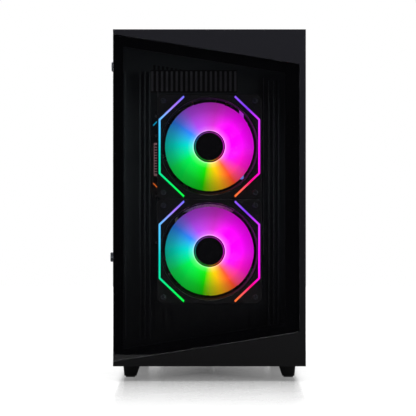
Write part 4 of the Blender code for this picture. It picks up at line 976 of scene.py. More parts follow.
# Chokes and capacitors round the processor, sockets along the edges.
for k in range(9):
    part_on_board(122.0, 255.0 + 11.0 * k, 9.0, 9.0, 7.5, 3, 0.8)
for k in range(6):
    part_on_board(60.0 + 11.0 * k, 345.0, 9.0, 9.0, 7.5, 3, 0.8)
for k in range(9):
    y, z = 113.0, 256.0 + 11.0 * k
    if free(y - 3, y + 3, z, z + 6):
        board.rod("X", y, z + 3, 3.0, MX - 9.0, MX, 0.4, 20, 4)
        keep_out.append((0, 0, y - 3, y + 3, z, z + 6))
part_on_board(MY0 + 3, 275.0, 8.0, 54.0, 13.0, 5, 0.4)
part_on_board(150.0, MZ1 - 14.0, 18.0, 9.0, 12.0, 5, 0.4)
for k in range(3):
    part_on_board(MY0 + 2.5, 140.0 + 16.0 * k, 12.0, 13.0, 8.0, 5, 0.4)
for k in range(5):
    part_on_board(18.0 + 27.0 * k, MZ0 + 3.0, 22.0, 5.0, 7.0, 5, 0.3)
part_on_board(60.0, 185.0, 84.0, 7.0, 9.0, 5, 0.3)
part_on_board(60.0, 148.0, 30.0, 7.0, 9.0, 5, 0.3)
part_on_board(20.0, 206.0, 22.0, 18.0, 4.0, 3, 0.3)
part_on_board(100.0, 222.0, 60.0, 20.0, 3.2, 3, 0.6)
if free(20, 42, 176, 198):
    board.rod("X", 30.0, 168.0, 10.0, MX - 3.4, MX, 0.5, 40, 6)
    board.rod("X", 30.0, 168.0, 11.6, MX - 2.0, MX, 0.3, 40, 5, 10.1)
    keep_out.append((0, 0, 18, 42, 156, 180))
for k in range(7):
    y, z = 160.0, 140.0 + 9.0 * k
    if free(y - 3.2, y + 3.2, z - 3.2, z + 3.2):
        board.rod("X", y, z, 3.1, MX - 8.0, MX, 0.4, 20, 4)
        keep_out.append((0, 0, y - 3.2, y + 3.2, z - 3.2, z + 3.2))
for k in range(26):
    part_on_board(rng.uniform(MY0 + 4, MY1 - 14), rng.uniform(MZ0 + 4, MZ1 - 14),
                  rng.choice((5.0, 7.0, 9.0)),
                  rng.choice((5.0, 7.0)), 1.2, 3, 0.15)
for k in range(260):
    part_on_board(rng.uniform(MY0 + 4, MY1 - 6), rng.uniform(MZ0 + 4, MZ1 - 6), rng.choice((1.0, 1.6, 2.2)),
                  rng.choice((0.8, 1.2)), rng.choice((0.5, 0.8)), rng.choice((6, 7, 3)), 0.0)
board.box(MX - 5.0, MX, 95.0, 133.0, 287.0, 325.0, 0.6, 6)
board.show("main_board", "case", [pcb, PLASTIC, ZINC, BLACK_ALU, GREY, PLASTIC, ZINC, COPPER],
           "motherboard", "board")

# Heatsinks, memory, card slot.
x0, x1, y0, y1, z0, z1 = ends("vrm_heatsink")
sink = Shape()
sink.box(x1 - 8.0, x1, y0, y1, z0, z1, 0.5)
for k in range(12):
    z = mix(z0, z1, (k + 0.5) / 12)
    sink.box(x0, x1 - 7.9, y0, y1, z - 2.7, z + 2.7, 0.7)
sink.show("regulator_cooler", "case", BLACK_ALU, "vrm_heatsink", "heatsink_black")
x0, x1, y0, y1, z0, z1 = ends("chipset_heatsink")
sink = Shape()
sink.box(x1 - 4.0, x1, y0, y1, z0, z1, 0.5)
for k in range(7):
    y = mix(y0, y1, (k + 0.5) / 7)
    sink.box(x0, x1 - 3.9, y - 2.4, y + 2.4, z0 + 0.6, z1 - 0.6, 0.6)
for y, z in ((y0 + 3.4, z0 + 3.4), (y1 - 3.4, z1 - 3.4)):
    sink.rod("X", y, z, 2.2, x0 - 0.3, x0 + 1.0, 0.2, 16, 1)
sink.show("chipset_cooler", "case", [BLACK_ALU, ZINC], "chipset_heatsink", "heatsink_black")
x0, x1, y0, y1, z0, z1 = ends("memory_sockets")
modules = [middle(f"memory_module_{k}")[1] for k in (1, 2)]
pitch = (modules[1] - modules[0]) / 2
sockets = Shape()
for k in range(4):
    y = modules[0] + pitch * (k - 1)
    sockets.slab("X", x0, x1, round_rect(y - 3.1, y + 3.1, z0 + 1, z1 - 1, 0.8, 2),
                 [rect(y - 0.8, y + 0.8, z0 + 4, z1 - 4)], 0.3)
    for z, sz in ((z0 + 1, -1), (z1 - 1, 1)):
        sockets.box(x0 - 5.0, x0 + 3.0, y - 1.6, y + 1.6, z - 2.6, z + 2.6, 0.6, 1)
sockets.show("memory_slots", "case", [PLASTIC, GREY], "memory_sockets", "plastic_black")
for k in (1, 2):
    x0, x1, y0, y1, z0, z1 = ends(f"memory_module_{k}")
    y = (y0 + y1) / 2
    stick = Shape()
    stick.slab("Y", y - 0.65, y + 0.65, rect(x1 - 30.0, x1, z0, z1), (), 0.0, 1)
    for sy in (-1, 1):
        stick.box(x0 + 5.0, x1 - 4.8, y + sy * 0.7, y + sy * 3.3, z0 + 1.0, z1 - 1.0, 0.5)
        for j in range(9):
            z = mix(z0 + 10, z1 - 10, j / 8)
            stick.slab("Y", min(y + sy * 3.25, y + sy * 3.6), max(y + sy * 3.25, y + sy * 3.6),
                       [(x0 + 9, z - 3.2), (x0 + 25, z + 0.6), (x0 + 25, z + 3.2), (x0 + 9, z - 0.6)], (),
                       0.1)
    bar = glow(f"memory_light_{k}", (0, 0, 296.0), [(0, (200, 60, 255)), (90, (255, 0, 200)),
                                                    (180, (90, 80, 255)),
                                                  (270, (0, 170, 255)), (360, (200, 60, 255))], 1.1)
    stick.box(x0, x0 + 5.2, y - 2.9, y + 2.9, z0 + 1.5, z1 - 1.5, 1.2, 2)
    for j in range(36):
        z = mix(z0 + 4, z1 - 4, j / 35)
        if abs(j - 20) > 1:
            stick.box(x1 - 2.6, x1 + 0.0, y - 0.72, y + 0.72, z - 0.9, z + 0.9, 0.0, 3)
    stick.show(f"memory_stick_{k}", "case", [BLACK_ALU, pcb, bar, GOLD], f"memory_module_{k}",
               "heatsink_black")
x0, x1, y0, y1, z0, z1 = ends("expansion_slot")
slot = Shape()
slot.slab("X", x0, x1, round_rect(y0, y1, z0, z1, 1.0, 2),
          [rect(y0 + 2, y1 - 2, (z0 + z1) / 2 - 1.0, (z0 + z1) / 2 + 1.0)], 0.3)
slot.slab("X", x0 - 0.1, x1, round_rect(y0 - 0.4, y1 + 0.4, z0 - 0.4, z1 + 0.4, 1.2, 2),
          [round_rect(y0 - 0.05, y1 + 0.05, z0 - 0.05, z1 + 0.05, 1.0, 2)], 0.0, 1)
slot.box(x0 + 2.0, x1, y0 - 8.0, y0 - 0.6, z0 + 1.0, z1 - 1.0, 0.6)
slot.show("card_slot", "case", [PLASTIC, ZINC], "expansion_slot", "plastic_black")

# --- processor cooler ------------------------------------------------------------------
x0, x1, y0, y1, z0, z1 = ends("cpu_cooler")
FIN_HI = x0 + 102.0
tower = Shape()
count = 44
for k in range(count):
    x = mix(x0 + 1.5, FIN_HI - 0.5, k / (count - 1))
    tower.slab("X", x - 0.25, x + 0.25, [(y0 + 3, z0), (y1 - 3, z0), (y1, z0 + 6), (y1 - 4, (z0 + z1) / 2),
                                         (y1, z1 - 6),
                                         (y1 - 3, z1), (y0 + 3, z1), (y0, z1 - 6), (y0 + 2, (z0 + z1) / 2),
                                         (y0, z0 + 6)])
cap = round_rect(y0 + 0.5, y1 - 0.5, z0 + 0.5, z1 - 0.5, 5.0, 5)
tower.slab("X", x0, x0 + 1.2, cap, (), 0.4, 1)
cy, cz = (y0 + y1) / 2, 306.0
for k in range(4):
    off = (k - 1.5)
    for sz in (-1, 1):
        tower.tube([(x0 - 0.4, cy + off * 9.5, cz + sz * (38 - abs(off) * 6)),
                    (FIN_HI - 20, cy + off * 9.5, cz + sz * (38 - abs(off) * 6)),
                    (FIN_HI + 8, cy + off * 9.0, cz + sz * (36 - abs(off) * 6)),
                    (FIN_HI + 28, cy + off * 8.0, cz + sz * 22),
                    (x1 - 12, cy + off * 7.5, cz + sz * 6), (x1 - 10, cy + off * 7.5, cz)], 3.0, 12, 2)
tower.box(x1 - 16.0, x1, cy - 20, cy + 20, cz - 20, cz + 20, 1.0, 0)
tower.box(x1 - 14.0, x1 - 8.0, cy - 44, cy + 44, cz - 7, cz + 7, 1.0, 3)
tower.show("cooler_tower", "case", [ALU, BLACK_ALU, COPPER, ZINC], "cpu_cooler", "heatsink_bright")

# --- graphics card ---------------------------------------------------------------------
x0, x1, y0, y1, z0, z1 = ends("graphics_board")
CARD_Z = ends("graphics_heatsink")[5] + 0.3
sx0, sx1, sy0, sy1, sz0, sz1 = ends("graphics_shroud")
card = Shape()
card.slab("Z", CARD_Z, CARD_Z + 1.6, rect(x0 + 5.0, x1 - 8.7, y0, y1 - 5.0), (), 0.0)
card.box(x1 - 9.0, x1, 71.0, 155.0, CARD_Z, CARD_Z + 1.6, 0.0)
for j in range(40):
    y = mix(73.0, 153.0, j / 39)
    if not 84 < y < 88:
        card.box(x1 - 5.0, x1 - 0.4, y - 0.7, y + 0.7, CARD_Z - 0.05, CARD_Z + 1.65, 0.0, 1)
# Back plate with slots and screws, above the board.
back_slots = [round_rect(mix(x0 + 14, x1 - 30, i / 5), mix(x0 + 14, x1 - 30, i / 5) + 5.0, y0 + 8, y0 + 52,
                         2.4, 4)
              for i in range(6)]
card.slab("Z", CARD_Z + 2.2, CARD_Z + 3.4, [(x0 + 5, y0 - 2), (x1 - 16, y0 - 2), (x1 - 13, y0 + 1),
                                            (x1 - 13, y1 - 8),
                                            (x0 + 5, y1 - 8)], back_slots, (0.0, 0.4), 2)
for x in (x0 + 12, x1 - 22):
    for y in (y0 + 60, y0 + 120, y0 + 190):
        screw_head(card, "Z", x, y, CARD_Z + 3.4, 1, 2.4, 3)
card.rod("Z", x0 + 20, y0 + 100, 2.6, CARD_Z + 1.5, CARD_Z + 2.3, 0.0, 12, 3)
# Bracket with vents and four video sockets.
mouths = [(x0 + 8.0 + 24.0 * k, x0 + 25.0 + 24.0 * k) for k in range(4)]
bracket_y = sy1 + 2.0
card.slab("Y", bracket_y, bracket_y + 1.0, rect(x0 + 0.2, x0 + 112.0, z0, z1),
          [round_rect(x0 + 10.0 + 8.0 * k, x0 + 15.0 + 8.0 * k, z0 + 5.0, z0 + 17.0, 2.2, 4)
            for k in range(12)]
          + [rect(a + 0.6, b - 0.6, CARD_Z - 5.8, CARD_Z - 0.2) for a, b in mouths], 0.1, 3)
card.box(x0 - 0.2, x0 + 1.0, bracket_y + 1.0, REAR_Y + 1.0, z0 + 2.0, z1, 0.2, 3)
for k, (a, b) in enumerate(mouths):
    mouth = [(a + 1.4, CARD_Z - 4.8), (b - 1.4, CARD_Z - 4.8), (b - 1.4, CARD_Z - 1.2),
             (a + (3.0 if k else 1.4), CARD_Z - 1.2),
             (a + 1.4, CARD_Z - 2.8)]
    if not k:
        mouth = [(a + 3.0, CARD_Z - 4.8), (b - 3.0, CARD_Z - 4.8), (b - 1.4, CARD_Z - 3.2),
                 (b - 1.4, CARD_Z - 1.2),
                 (a + 1.4, CARD_Z - 1.2), (a + 1.4, CARD_Z - 3.2)]
    card.slab("Y", bracket_y - 11.0, REAR_Y - 0.7, rect(a + 0.8, b - 0.8, CARD_Z - 5.6, CARD_Z - 0.4),
              [mouth], 0.15, 3)
    card.box(a + 3.2, b - 3.2, bracket_y - 11.0, REAR_Y - 2.5, CARD_Z - 3.6, CARD_Z - 2.4, 0.0, 4)
    card.box(a + 1.0, b - 1.0, bracket_y - 11.0, bracket_y - 10.0, CARD_Z - 5.4, CARD_Z - 0.6, 0.0, 4)
card.box(x0 + 5.5, x0 + 16.0, -32.0, -12.0, CARD_Z - 8.0, CARD_Z - 0.1, 0.4, 4)
card.show("graphics_circuit", "case", [pcb, GOLD, BLACK_ALU, ZINC, PLASTIC], "graphics_board", "board")
x0, x1, y0, y1, z0, z1 = ends("graphics_heatsink")
fins = Shape()
fins.box(x0, x1, y0, y1, z1 - 3.0, z1, 0.4)
for k in range(58):
    y = mix(y0 + 0.6, y1 - 0.6, k / 57)
    fins.box(x0, x1, y - 0.3, y + 0.3, z0, z1 - 2.9)
for x in (x0 + 18, x0 + 34, x1 - 34, x1 - 18):
    fins.rod("Y", x, z0 + 7.0, 3.0, y0 + 2, y1 + 4, 1.0, 16, 1)
fins.show("graphics_fins", "case", [ALU, COPPER], "graphics_heatsink", "heatsink_bright")
cover = Shape()
gpu_fans = [middle(f"graphics_fan_{k}") for k in (1, 2)]
hull = [(sx0, sy0 + 14.0), (sx0 + 4.0, sy0), (sx1 - 8.0, sy0), (sx1, sy0 + 10.0), (sx1, sy1),
        (sx0 + 4.0, sy1),
        (sx0, sy1 - 18.0)]
cover.slab("Z", sz0, sz1, rounded(hull, 2.0), [circle(c[0], c[1], 43.8, 64) for c in gpu_fans], (1.6, 0.3))
for c in gpu_fans:
    cover.rod("Z", c[0], c[1], 47.5, sz0 - 0.6, sz0 + 0.4, 0.4, 64, 1, 44.2)
    cover.rod("Z", c[0], c[1], 15.0, sz1 - 2.4, sz1 - 0.1, 0.3, 40)
    for k in range(4):
        arm(cover, "Z", c[0], c[1], 45 + 90 * k, 13, 45, sz1 - 2.2, sz1 - 0.3, 2, 2)
mid = (gpu_fans[0][1] + gpu_fans[1][1]) / 2
for sy in (-1, 1):
    cover.slab("Z", sz0 - 0.7, sz0 + 0.2, [(sx0 + 6, mid + sy * 3), (sx0 + 30, mid + sy * 3),
                                           (sx0 + 22, mid + sy * 9),
                                           (sx0 + 6, mid + sy * 9)], (), 0.3, 1)
cover.show("graphics_cover", "case", [PLASTIC, BLACK_ALU], "graphics_shroud", "plastic_satin")
for k, c in enumerate(gpu_fans):
    _, _, _, _, z0, z1 = ends(f"graphics_fan_{k + 1}")
    fan = Shape()
    hub_cap(fan, "Z", (c[0], c[1], 0), z0, z1, 14.0, 1.2, 2.0, 40)
    fan.rod("Z", c[0], c[1], 10.5, z0 - 0.1, z0 + 0.05, 0.0, 32, 1)
    blades(fan, (c[0], c[1], (z0 + z1) / 2), "Z", 13.6, 41.5, 10.5, 11, 34.0, 20.0, -1 if k else 1)
    fan.rod("Z", c[0], c[1], 42.2, (z0 + z1) / 2 - 3.0, (z0 + z1) / 2 + 3.0, 0.3, 64, 0, 41.2)
    fan.show(f"graphics_blades_{k + 1}", "graphics_fan_a" if k == 0 else "graphics_fan_b", [PLASTIC, GREY],
             f"graphics_fan_{k + 1}", "fan_black")

# --- power supply ----------------------------------------------------------------------
ix, _, iz = middle("power_inlet")
kx, _, kz = middle("power_rocker")
pf = middle("power_supply_fan")
psu = Shape()
PSU_WALL = 1.4
psu.slab("Y", PSU_BACK - PSU_WALL, PSU_BACK, round_rect(psu_x0, psu_x1, psu_z0, psu_z1, 1.5, 3),
         hexes(everywhere, psu_x0 + 46, psu_x1 - 6, psu_z0 + 6, psu_z1 - 6, 6.2, 2.7)
         + [rect(ix - 14.3, ix + 14.3, iz - 10.8, iz + 10.8),
            round_rect(kx - 7.6, kx + 7.6, kz - 5.6, kz + 5.6, 0.8, 2)],
         (0.0, 0.4))
psu.slab("Y", PSU_FRONT, PSU_FRONT + PSU_WALL, round_rect(psu_x0, psu_x1, psu_z0, psu_z1, 1.5, 3),
         [round_rect(22.9, 72.9, 44.0, 80.0, 4.0, 4)], (0.4, 0.0))
psu.slab("X", psu_x0, psu_x0 + PSU_WALL, rect(PSU_FRONT + PSU_WALL, PSU_BACK - PSU_WALL, psu_z0 + 0.5,
                                              psu_z1 - 0.5))
psu.slab("X", psu_x1 - PSU_WALL, psu_x1, rect(PSU_FRONT + PSU_WALL, PSU_BACK - PSU_WALL, psu_z0 + 0.5,
                                              psu_z1 - 0.5))
psu.slab("Z", psu_z1 - PSU_WALL, psu_z1, rect(psu_x0 + PSU_WALL, psu_x1 - PSU_WALL, PSU_FRONT + PSU_WALL,
                                              PSU_BACK - PSU_WALL))
psu.slab("Z", psu_z0, psu_z0 + PSU_WALL, rect(psu_x0 + PSU_WALL, psu_x1 - PSU_WALL, PSU_FRONT + PSU_WALL,
                                              PSU_BACK - PSU_WALL),
         [circle(pf[0], pf[1], 58.0, 64)])
for r in range(10, 60, 6):
    loop = [(pf[0] + r * math.cos(a), pf[1] + r * math.sin(a), psu_z0 + 0.7) for a in
            [math.tau * k / 36 for k in range(37)]]
    psu.tube(loop[::3] if r < 30 else loop[::2], 0.7, 6, 1)
for k in range(4):
    a = math.radians(45 + 90 * k)
    psu.tube([(pf[0] + 8 * math.cos(a), pf[1] + 8 * math.sin(a), psu_z0 + 1.5),
              (pf[0] + 59 * math.cos(a), pf[1] + 59 * math.sin(a), psu_z0 + 1.5)], 0.8, 6, 1)
for x, z in ((psu_x0 + 6, psu_z0 + 6), (psu_x1 - 6, psu_z1 - 6), (psu_x0 + 6, psu_z1 - 6),
             (psu_x1 - 6, psu_z0 + 16)):
    screw_head(psu, "Y", x, z, PSU_BACK, 1, 3.2, 2)
psu.show("supply_housing", "case", [STEEL, ZINC, SCREW], "power_supply", "psu_metal")
z0, z1 = ends("power_supply_fan")[4:]
fan = Shape()
hub_cap(fan, "Z", (pf[0], pf[1], 0), z0, z1, 18.0, 1.2, 2.0, 40)
blades(fan, (pf[0], pf[1], z0 + 10.0), "Z", 17.4, 54.0, 12.0, 7, 44.0, 18.0)
fan.show("supply_blades", "power_supply_rotor", PLASTIC, "power_supply_fan", "fan_black")
x0, x1, y0, y1, z0, z1 = ends("power_inlet")
inlet_hull = [(x0, z0), (x1, z0), (x1, z1 - 5.5), (x1 - 5, z1), (x0 + 5, z1), (x0, z1 - 5.5)]
well = [(x0 + 2, z0 + 2.2), (x1 - 2, z0 + 2.2), (x1 - 2, z1 - 6.6), (x1 - 6, z1 - 2.2), (x0 + 6, z1 - 2.2),
        (x0 + 2, z1 - 6.6)]
inlet = Shape()
inlet.slab("Y", y0 + 4.0, y1, inlet_hull, [well], (0.0, 0.5))
inlet.slab("Y", y0, y0 + 4.0, inlet_hull)
for dx, dz in ((-7.0, -1.5), (7.0, -1.5), (0.0, 2.5)):
    inlet.box(ix + dx - 0.9, ix + dx + 0.9, y0 + 3.0, y1 - 7.2, iz + dz - 2.0, iz + dz + 2.0, 0.3, 1)
inlet.show("inlet_socket", "case", [PLASTIC, ZINC], "power_inlet", "plastic_black")
x0, x1, y0, y1, z0, z1 = ends("power_rocker")
rock = Shape()
rock.slab("X", x0, x1, [(y0, kz - 2.0), (y1 - 2.1, kz - 4.6), (y1, kz - 4.2), (y1 - 1.0, kz),
                        (y1, kz + 4.2),
                        (y1 - 2.1, kz + 4.6), (y0, kz + 2.0)], (), 0.4)
rock.box(kx - 0.35, kx + 0.35, y1 - 0.75, y1 - 0.25, kz + 1.4, kz + 3.6, 0.0, 1)
rock.slab("Y", y1 - 0.75, y1 - 0.3, circle(kx, kz - 2.5, 1.2, 20), [circle(kx, kz - 2.5, 0.85, 20)], 0.0, 1)
rock.show("rocker_key", "mains_rocker", [GLOSS, WHITE_PRINT], "power_rocker", "plastic_black")

# --- drive, filter tray and rear sockets -----------------------------------------------
x0, x1, y0, y1, z0, z1 = ends("hard_drive")
drive = Shape()
drive.slab("Z", z0 + 3.0, z1, round_rect(x0, x1, y0, y1, 3.0, 4), (), 0.8)
drive.slab("Z", z0, z0 + 3.0, round_rect(x0 + 20, x1 - 4, y0 + 3, y1 - 3, 1.0, 2), (), 0.2, 1)
drive.rod("Z", x0 + 50.0, (y0 + y1) / 2, 30.0, z1 - 0.1, z1 + 0.4, 0.3, 48)
for x, y in ((x0 + 5, y0 + 5), (x1 - 5, y0 + 5), (x0 + 5, y1 - 5), (x1 - 5, y1 - 5)):
    screw_head(drive, "Z", x, y, z1, 1, 2.2, 2)
drive.show("disk_drive", "case", [ALU, pcb, SCREW], "hard_drive", "drive_metal")

x0, x1, y0, y1, z0, z1 = ends("power_supply_filter")
tray = Shape()
tray.slab("Z", z0, z1, round_rect(x0, x1, y0, y1 - 2.0, 2.0, 3), [rect(x0 + 6, x1 - 6, y0 + 8, y1 - 9)],
          0.3)
tray.box(x0 + 4, x1 - 4, y1 - 3.0, y1, z0, z1, 0.6)
x = x0 + 7
while x < x1 - 6:
    tray.box(x - WIRE, x + WIRE, y0 + 7, y1 - 8, z0 + 1.2, z0 + 1.5, 0.0, 1)
    x += 2.4
y = y0 + 9
while y < y1 - 9:
    tray.box(x0 + 5, x1 - 5, y - WIRE, y + WIRE, z0 + 1.4, z0 + 1.7, 0.0, 1)
    y += 2.4
tray.box((x0 + x1) / 2 - 1.5, (x0 + x1) / 2 + 1.5, y0 + 6, y1 - 8, z0 + 0.4, z1 - 0.6, 0.3)
tray.box(x0 + 4, x1 - 4, (y0 + y1) / 2 - 1.5, (y0 + y1) / 2 + 1.5, z0 + 0.4, z1 - 0.6, 0.3)
tray.show("supply_dust_net", "floor_filter", [PLASTIC, RUBBER], "power_supply_filter", "filter")

x0, x1, y0, y1, z0, z1 = ends("rear_port_block")
USB_Z = [z0 + 8.7 + 22.0 * k for k in range(4)]
shield_holes = []
for z in USB_Z:
    shield_holes += [round_rect(x0 + 21.5 + 9.0 * j, x0 + 28.1 + 9.0 * j, z - 0.4, z + 13.4, 0.4, 2)
                     for j in (0, 1)]
lan = (x0 + 20.7, x0 + 34.7, z0 + 95.7, z0 + 107.7)
shield_holes.append(rect(*lan))
video = (x0 + 23.7, x0 + 29.7, z0 + 112.7, z0 + 127.7)
shield_holes.append(round_rect(*video, 0.8, 2))
jacks = [(x0 + 21.7 + 12.0 * i, z0 + 135.5 + 10.0 * j) for i in (0, 1) for j in (0, 1)]
shield_holes += [circle(u, v, 3.6, 24) for u, v in jacks]
io = Shape()
io.slab("Y", y1 - 1.2, y1 - 0.2, round_rect(x0 + 0.3, x1 - 0.3, z0 + 0.3, z1 - 0.3, 0.8, 2), shield_holes,
        (0.0, 0.2))
for z in USB_Z:
    for j in (0, 1):
        u0, u1 = x0 + 21.8 + 9.0 * j, x0 + 27.8 + 9.0 * j
        io.slab("Y", y0 + 8, y1 - 0.05, rect(u0, u1, z, z + 13.0),
                [rect(u0 + 0.4, u1 - 0.4, z + 0.4, z + 12.6)], 0.0, 1)
        io.box(u0 + 1.8, u0 + 3.6, y0 + 8, y1 - 2.2, z + 1.2, z + 11.8, 0.1, 2 if z > USB_Z[1] else 3)
        io.box(u0, u1, y0 + 7, y0 + 8, z, z + 13.0, 0.0, 3)
io.slab("Y", y0 + 8, y1 - 0.05, rect(lan[0] + 0.2, lan[1] - 0.2, lan[2] + 0.2, lan[3] - 0.2),
        [[(lan[0] + 0.8, lan[2] + 0.8), (lan[1] - 2.4, lan[2] + 0.8), (lan[1] - 2.4, lan[2] + 3.2),
          (lan[1] - 0.8, lan[2] + 3.2),
          (lan[1] - 0.8, lan[3] - 3.2), (lan[1] - 2.4, lan[3] - 3.2), (lan[1] - 2.4, lan[3] - 0.8),
          (lan[0] + 0.8, lan[3] - 0.8)]],
        0.0, 1)
io.box(lan[0] + 0.3, lan[1] - 0.3, y0 + 7, y0 + 16, lan[2] + 0.3, lan[3] - 0.3, 0.0, 3)
for k in range(8):
    z = lan[2] + 2.2 + 1.1 * k
    io.box(lan[0] + 1.0, lan[0] + 3.4, y0 + 16, y1 - 3.0, z - 0.2, z + 0.2, 0.0, 4)
io.slab("Y", y0 + 8, y1 - 0.05, round_rect(video[0] + 0.2, video[1] - 0.2, video[2] + 0.2, video[3] - 0.2,
                                           0.8, 2),
        [round_rect(video[0] + 0.7, video[1] - 0.7, video[2] + 0.7, video[3] - 0.7, 0.6, 2)], 0.0, 1)
io.box(video[0] + 2.2, video[0] + 3.8, y0 + 8, y1 - 2.5, video[2] + 2, video[3] - 2, 0.1, 3)
io.box(video[0], video[1], y0 + 7, y0 + 8, video[2], video[3], 0.0, 3)
tints = [material(f"jack_{n}", c, 0.4, 0.0, 0.4, 0.004, 0.08, 0.04) for n, c in
         (("green", (0.05, 0.35, 0.08)), ("blue", (0.06, 0.2, 0.5)), ("pink", (0.6, 0.15, 0.22)),
          ("black", (0.02, 0.02, 0.02)))]
for k, (u, v) in enumerate(jacks):
    io.rod("Y", u, v, 3.5, y0 + 10, y1 - 0.1, 0.2, 24, 5 + k, 1.8)
    io.rod("Y", u, v, 3.4, y0 + 8, y0 + 10, 0.0, 24, 3)
io.box(x0 + 8.0, x1 - 5.5, y0, y0 + 7.0, z0 + 4, z1 - 4, 0.6, 3)
io.box(x0 + 17.0, x1 - 5.5, y0 + 7.0, y0 + 8.0, z0 + 4, z1 - 4, 0.0, 3)
io.show("rear_sockets", "case", [BLACK_ALU, ZINC, BLUE, PLASTIC, GOLD] + tints, "rear_port_block",
        "connector_metal")

# --- internal leads: bundles of round wires --------------------------------------------
BOARD_LEAD = [(66.9, -46.0, 300.0), (65.9, -56.0, 300.0), (69.9, -66.0, 299.0), (80.9, -72.0, 298.0),
              (92.9, -73.0, 296.0),
              (99.4, -72.0, 286.0), (100.4, -70.0, 262.0), (100.4, -58.0, 200.0), (100.4, -30.0, 120.0),
              (99.9, -10.0, 88.0), (92.9, 4.0, 72.0), (74.9, 18.0, 64.0), (58.9, 32.0, 62.0),
              (50.9, 44.0, 62.0),
              (48.9, 52.0, 62.0)]
CARD_LEAD = [(-46.1, -20.0, 205.0), (-53.1, -22.0, 205.0), (-61.1, -28.0, 196.0), (-63.1, -40.0, 176.0),
             (-59.1, -56.0, 150.0), (-49.1, -67.0, 128.0), (-43.1, -69.0, 117.5), (-37.1, -68.0, 108.0),
             (-31.1, -24.0, 108.5), (-11.1, 20.0, 108.0), (24.9, 34.0, 90.0), (30.9, 42.0, 66.0),
             (30.9, 52.0, 62.0)]
for name, path_, wires, spread, r in (("board_lead", BOARD_LEAD, 12, 5.6, 1.25),
                                      ("graphics_lead", CARD_LEAD, 8, 4.2, 1.3)):
    bundle = Shape()
    line_ = smooth_line(path_, 5)
    for k in range(wires):
        a = math.tau * k / wires
        ring = 1.0 if k % 3 else 0.45
        off_u, off_v = spread * 0.5 * ring * math.cos(a), spread * ring * 0.8 * math.sin(a)
        strand = []
        for i, p in enumerate(line_):
            ahead = (line_[min(i + 1, len(line_) - 1)] - line_[max(i - 1, 0)]).normalized()
            across = Vector((0, 0, 1)) if abs(ahead.z) < 0.75 else Vector((0, 1, 0))
            side = ahead.cross(across).normalized()
            up = side.cross(ahead).normalized()
            strand.append(tuple(p + side * off_u + up * off_v))
        bundle.tube(strand[::2] + [strand[-1]], r, 7)
    for t in (0.12, 0.45, 0.75):
        i = int(t * (len(line_) - 1))
        p, q = line_[i], line_[i + 1]
        d = (q - p).normalized()
        bundle.tube([tuple(p - d * 1.2), tuple(p + d * 1.2)], spread * 0.95, 16, 1)
    x, y, z = path_[0]
    if name == "board_lead":
        bundle.box(x - 5.0, x + 4.0, y - 3.0, y + 8.0, z - 26.0, z + 26.0, 0.6, 1)
    else:
        bundle.box(x - 3.0, x + 5.0, y - 9.0, y + 9.0, z - 4.5, z + 3.5, 0.6, 1)
    bundle.show(name + "_wires", "case", [SLEEVE, PLASTIC], name, "lead_sleeve")

# Rubber lips in the tray's and the shroud's lead openings.
DZ1 = ends("psu_shroud")[5]
tx0, tx1 = ends("motherboard_tray")[:2]
lips = Shape()
for y0, y1, z0, z1 in ((-82.0, -64.0, 262.0, 332.0), (-82.0, -64.0, 150.0, 220.0)):
    lips.slab("X", tx0 - 1.6, tx1 + 1.6, round_rect(y0 - 2.0, y1 + 2.0, z0 - 2.0, z1 + 2.0, 6.5, 5),
              [round_rect(y0 + 1.2, y1 - 1.2, z0 + 1.2, z1 - 1.2, 4.0, 5)], 0.4)
lips.slab("Z", DZ1 - 2.6, DZ1 + 1.4, round_rect(-69.1, -15.1, -82.0, -56.0, 5.0, 5),
          [round_rect(-65.9, -18.3, -78.8, -59.2, 3.0, 5)], 0.4)
lips.show("lead_grommets", "case", RUBBER, (), "plastic_black")

# --- the remaining CAD sheets keep their shape and get a painted finish -----------------
for node in ("chassis_floor", "chassis_front", "motherboard_tray", "psu_shroud", "drive_cage"):
    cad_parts[node].material_slots[0].material = INNER if node == "chassis_front" else STEEL

# --- floor, light, camera --------------------------------------------------------------
floor = add_object("floor", Shape().box(-1600, 1600, -560, 2200, -0.6, -0.05).mesh("floor"))
paper = material("studio_floor", (0.36, 0.36, 0.36), 0.14, 0.0, 40.0, 0.0, 0.01, 0.02,
                 Emission_Color=(1, 1, 1, 1))
floor.data.materials.append(paper)
# Painted shadow: the paper's glow is lowest near the case and brightens away from it, standing in for the
# shadow and dark reflection under the case.
tree = paper.node_tree
away = add_node(tree, "VectorMath", {0: position(tree)}, operation="ABSOLUTE")
beyond = add_node(tree, "VectorMath", {0: away.outputs[0], 1: (0.11, 0.2, 0.0)}, operation="SUBTRACT")
sides = add_node(tree, "SeparateXYZ", {0: beyond.outputs[0]})
most = add_node(tree, "Math", {0: sides.outputs["X"], 1: sides.outputs["Y"]}, operation="MAXIMUM")
painted_shadow_glow = map_range(tree, most.outputs[0], -0.12, 0.26, 0.06, 0.62)
tree.links.new(painted_shadow_glow, tree.nodes["Principled BSDF"].inputs["Emission Strength"])

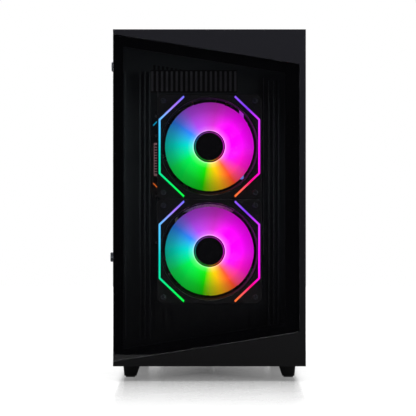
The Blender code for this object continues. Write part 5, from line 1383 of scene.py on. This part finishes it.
# The studio is bright behind the object and dim in front of it. The camera sees it white, or dark where
# it looks through glass.
world = bpy.data.worlds.new("studio")
bpy.context.scene.world = world
world.use_nodes = True
tree = world.node_tree
around = tree.nodes["Background"]
around.inputs["Color"].default_value = (1, 1, 1, 1)
direction = add_node(tree, "SeparateXYZ", {0: add_node(tree, "TexCoord").outputs["Generated"]})
level = map_range(tree, direction.outputs["Y"], -0.75, 0.35, 0.012, 1.0, interpolation_type="SMOOTHSTEP")
tree.links.new(level, around.inputs["Strength"])
path = add_node(tree, "LightPath")
bare = add_node(tree, "Math", {0: path.outputs["Transparent Depth"], 1: 0.5}, operation="LESS_THAN")
seen = add_node(tree, "Background", {"Color": (1, 1, 1, 1), "Strength": bare.outputs[0]})
pick = add_node(tree, "MixShader", {0: path.outputs["Is Camera Ray"], 1: around.outputs[0],
                                    2: seen.outputs[0]})
tree.links.new(pick.outputs[0], tree.nodes["World Output"].inputs["Surface"])

def lamp(name, at, aim, size, power):
    data = bpy.data.lights.new(name, "AREA")
    data.shape = "RECTANGLE"
    data.size, data.size_y = size
    data.energy = power
    obj = add_object(name, data)
    obj.location = at
    obj.rotation_euler = (Vector(aim) - Vector(at)).to_track_quat("-Z", "Y").to_euler()
    return obj


lamp("key_above", (0.0, -0.2, 2.8), (0, 0, 0.0), (3.2, 3.2), 150)
lamp("front_top", (0.0, -0.6, 0.85), (0, -0.2, 0.25), (0.5, 0.25), 1.6)
lamp("front_side", (1.7, -2.2, 0.5), (0, -0.2, 0.25), (0.8, 0.8), 13)
lamp("left_soft", (-2.6, 0.2, 1.3), (0, 0, 0.2), (1.2, 1.8), 20)
lamp("right_soft", (2.6, 0.2, 1.2), (0, 0, 0.2), (1.2, 1.8), 16)

DISTANCE = 2.0
VIEW_W = 0.4701                    # width of the view at the front of the case, in metres
cam_data = bpy.data.cameras.new("camera")
cam_data.sensor_width = 36.0
cam_data.lens = 36.0 * DISTANCE / VIEW_W
cam = add_object("camera", cam_data)
cam.location = ((CX - 1.6) * MM, FRONT_Y * MM - DISTANCE, 0.196)
cam.rotation_euler = (math.radians(90), 0, 0)
cam_data.clip_end = 50.0
bpy.context.scene.camera = cam
bpy.context.scene.view_settings.view_transform = "Standard"
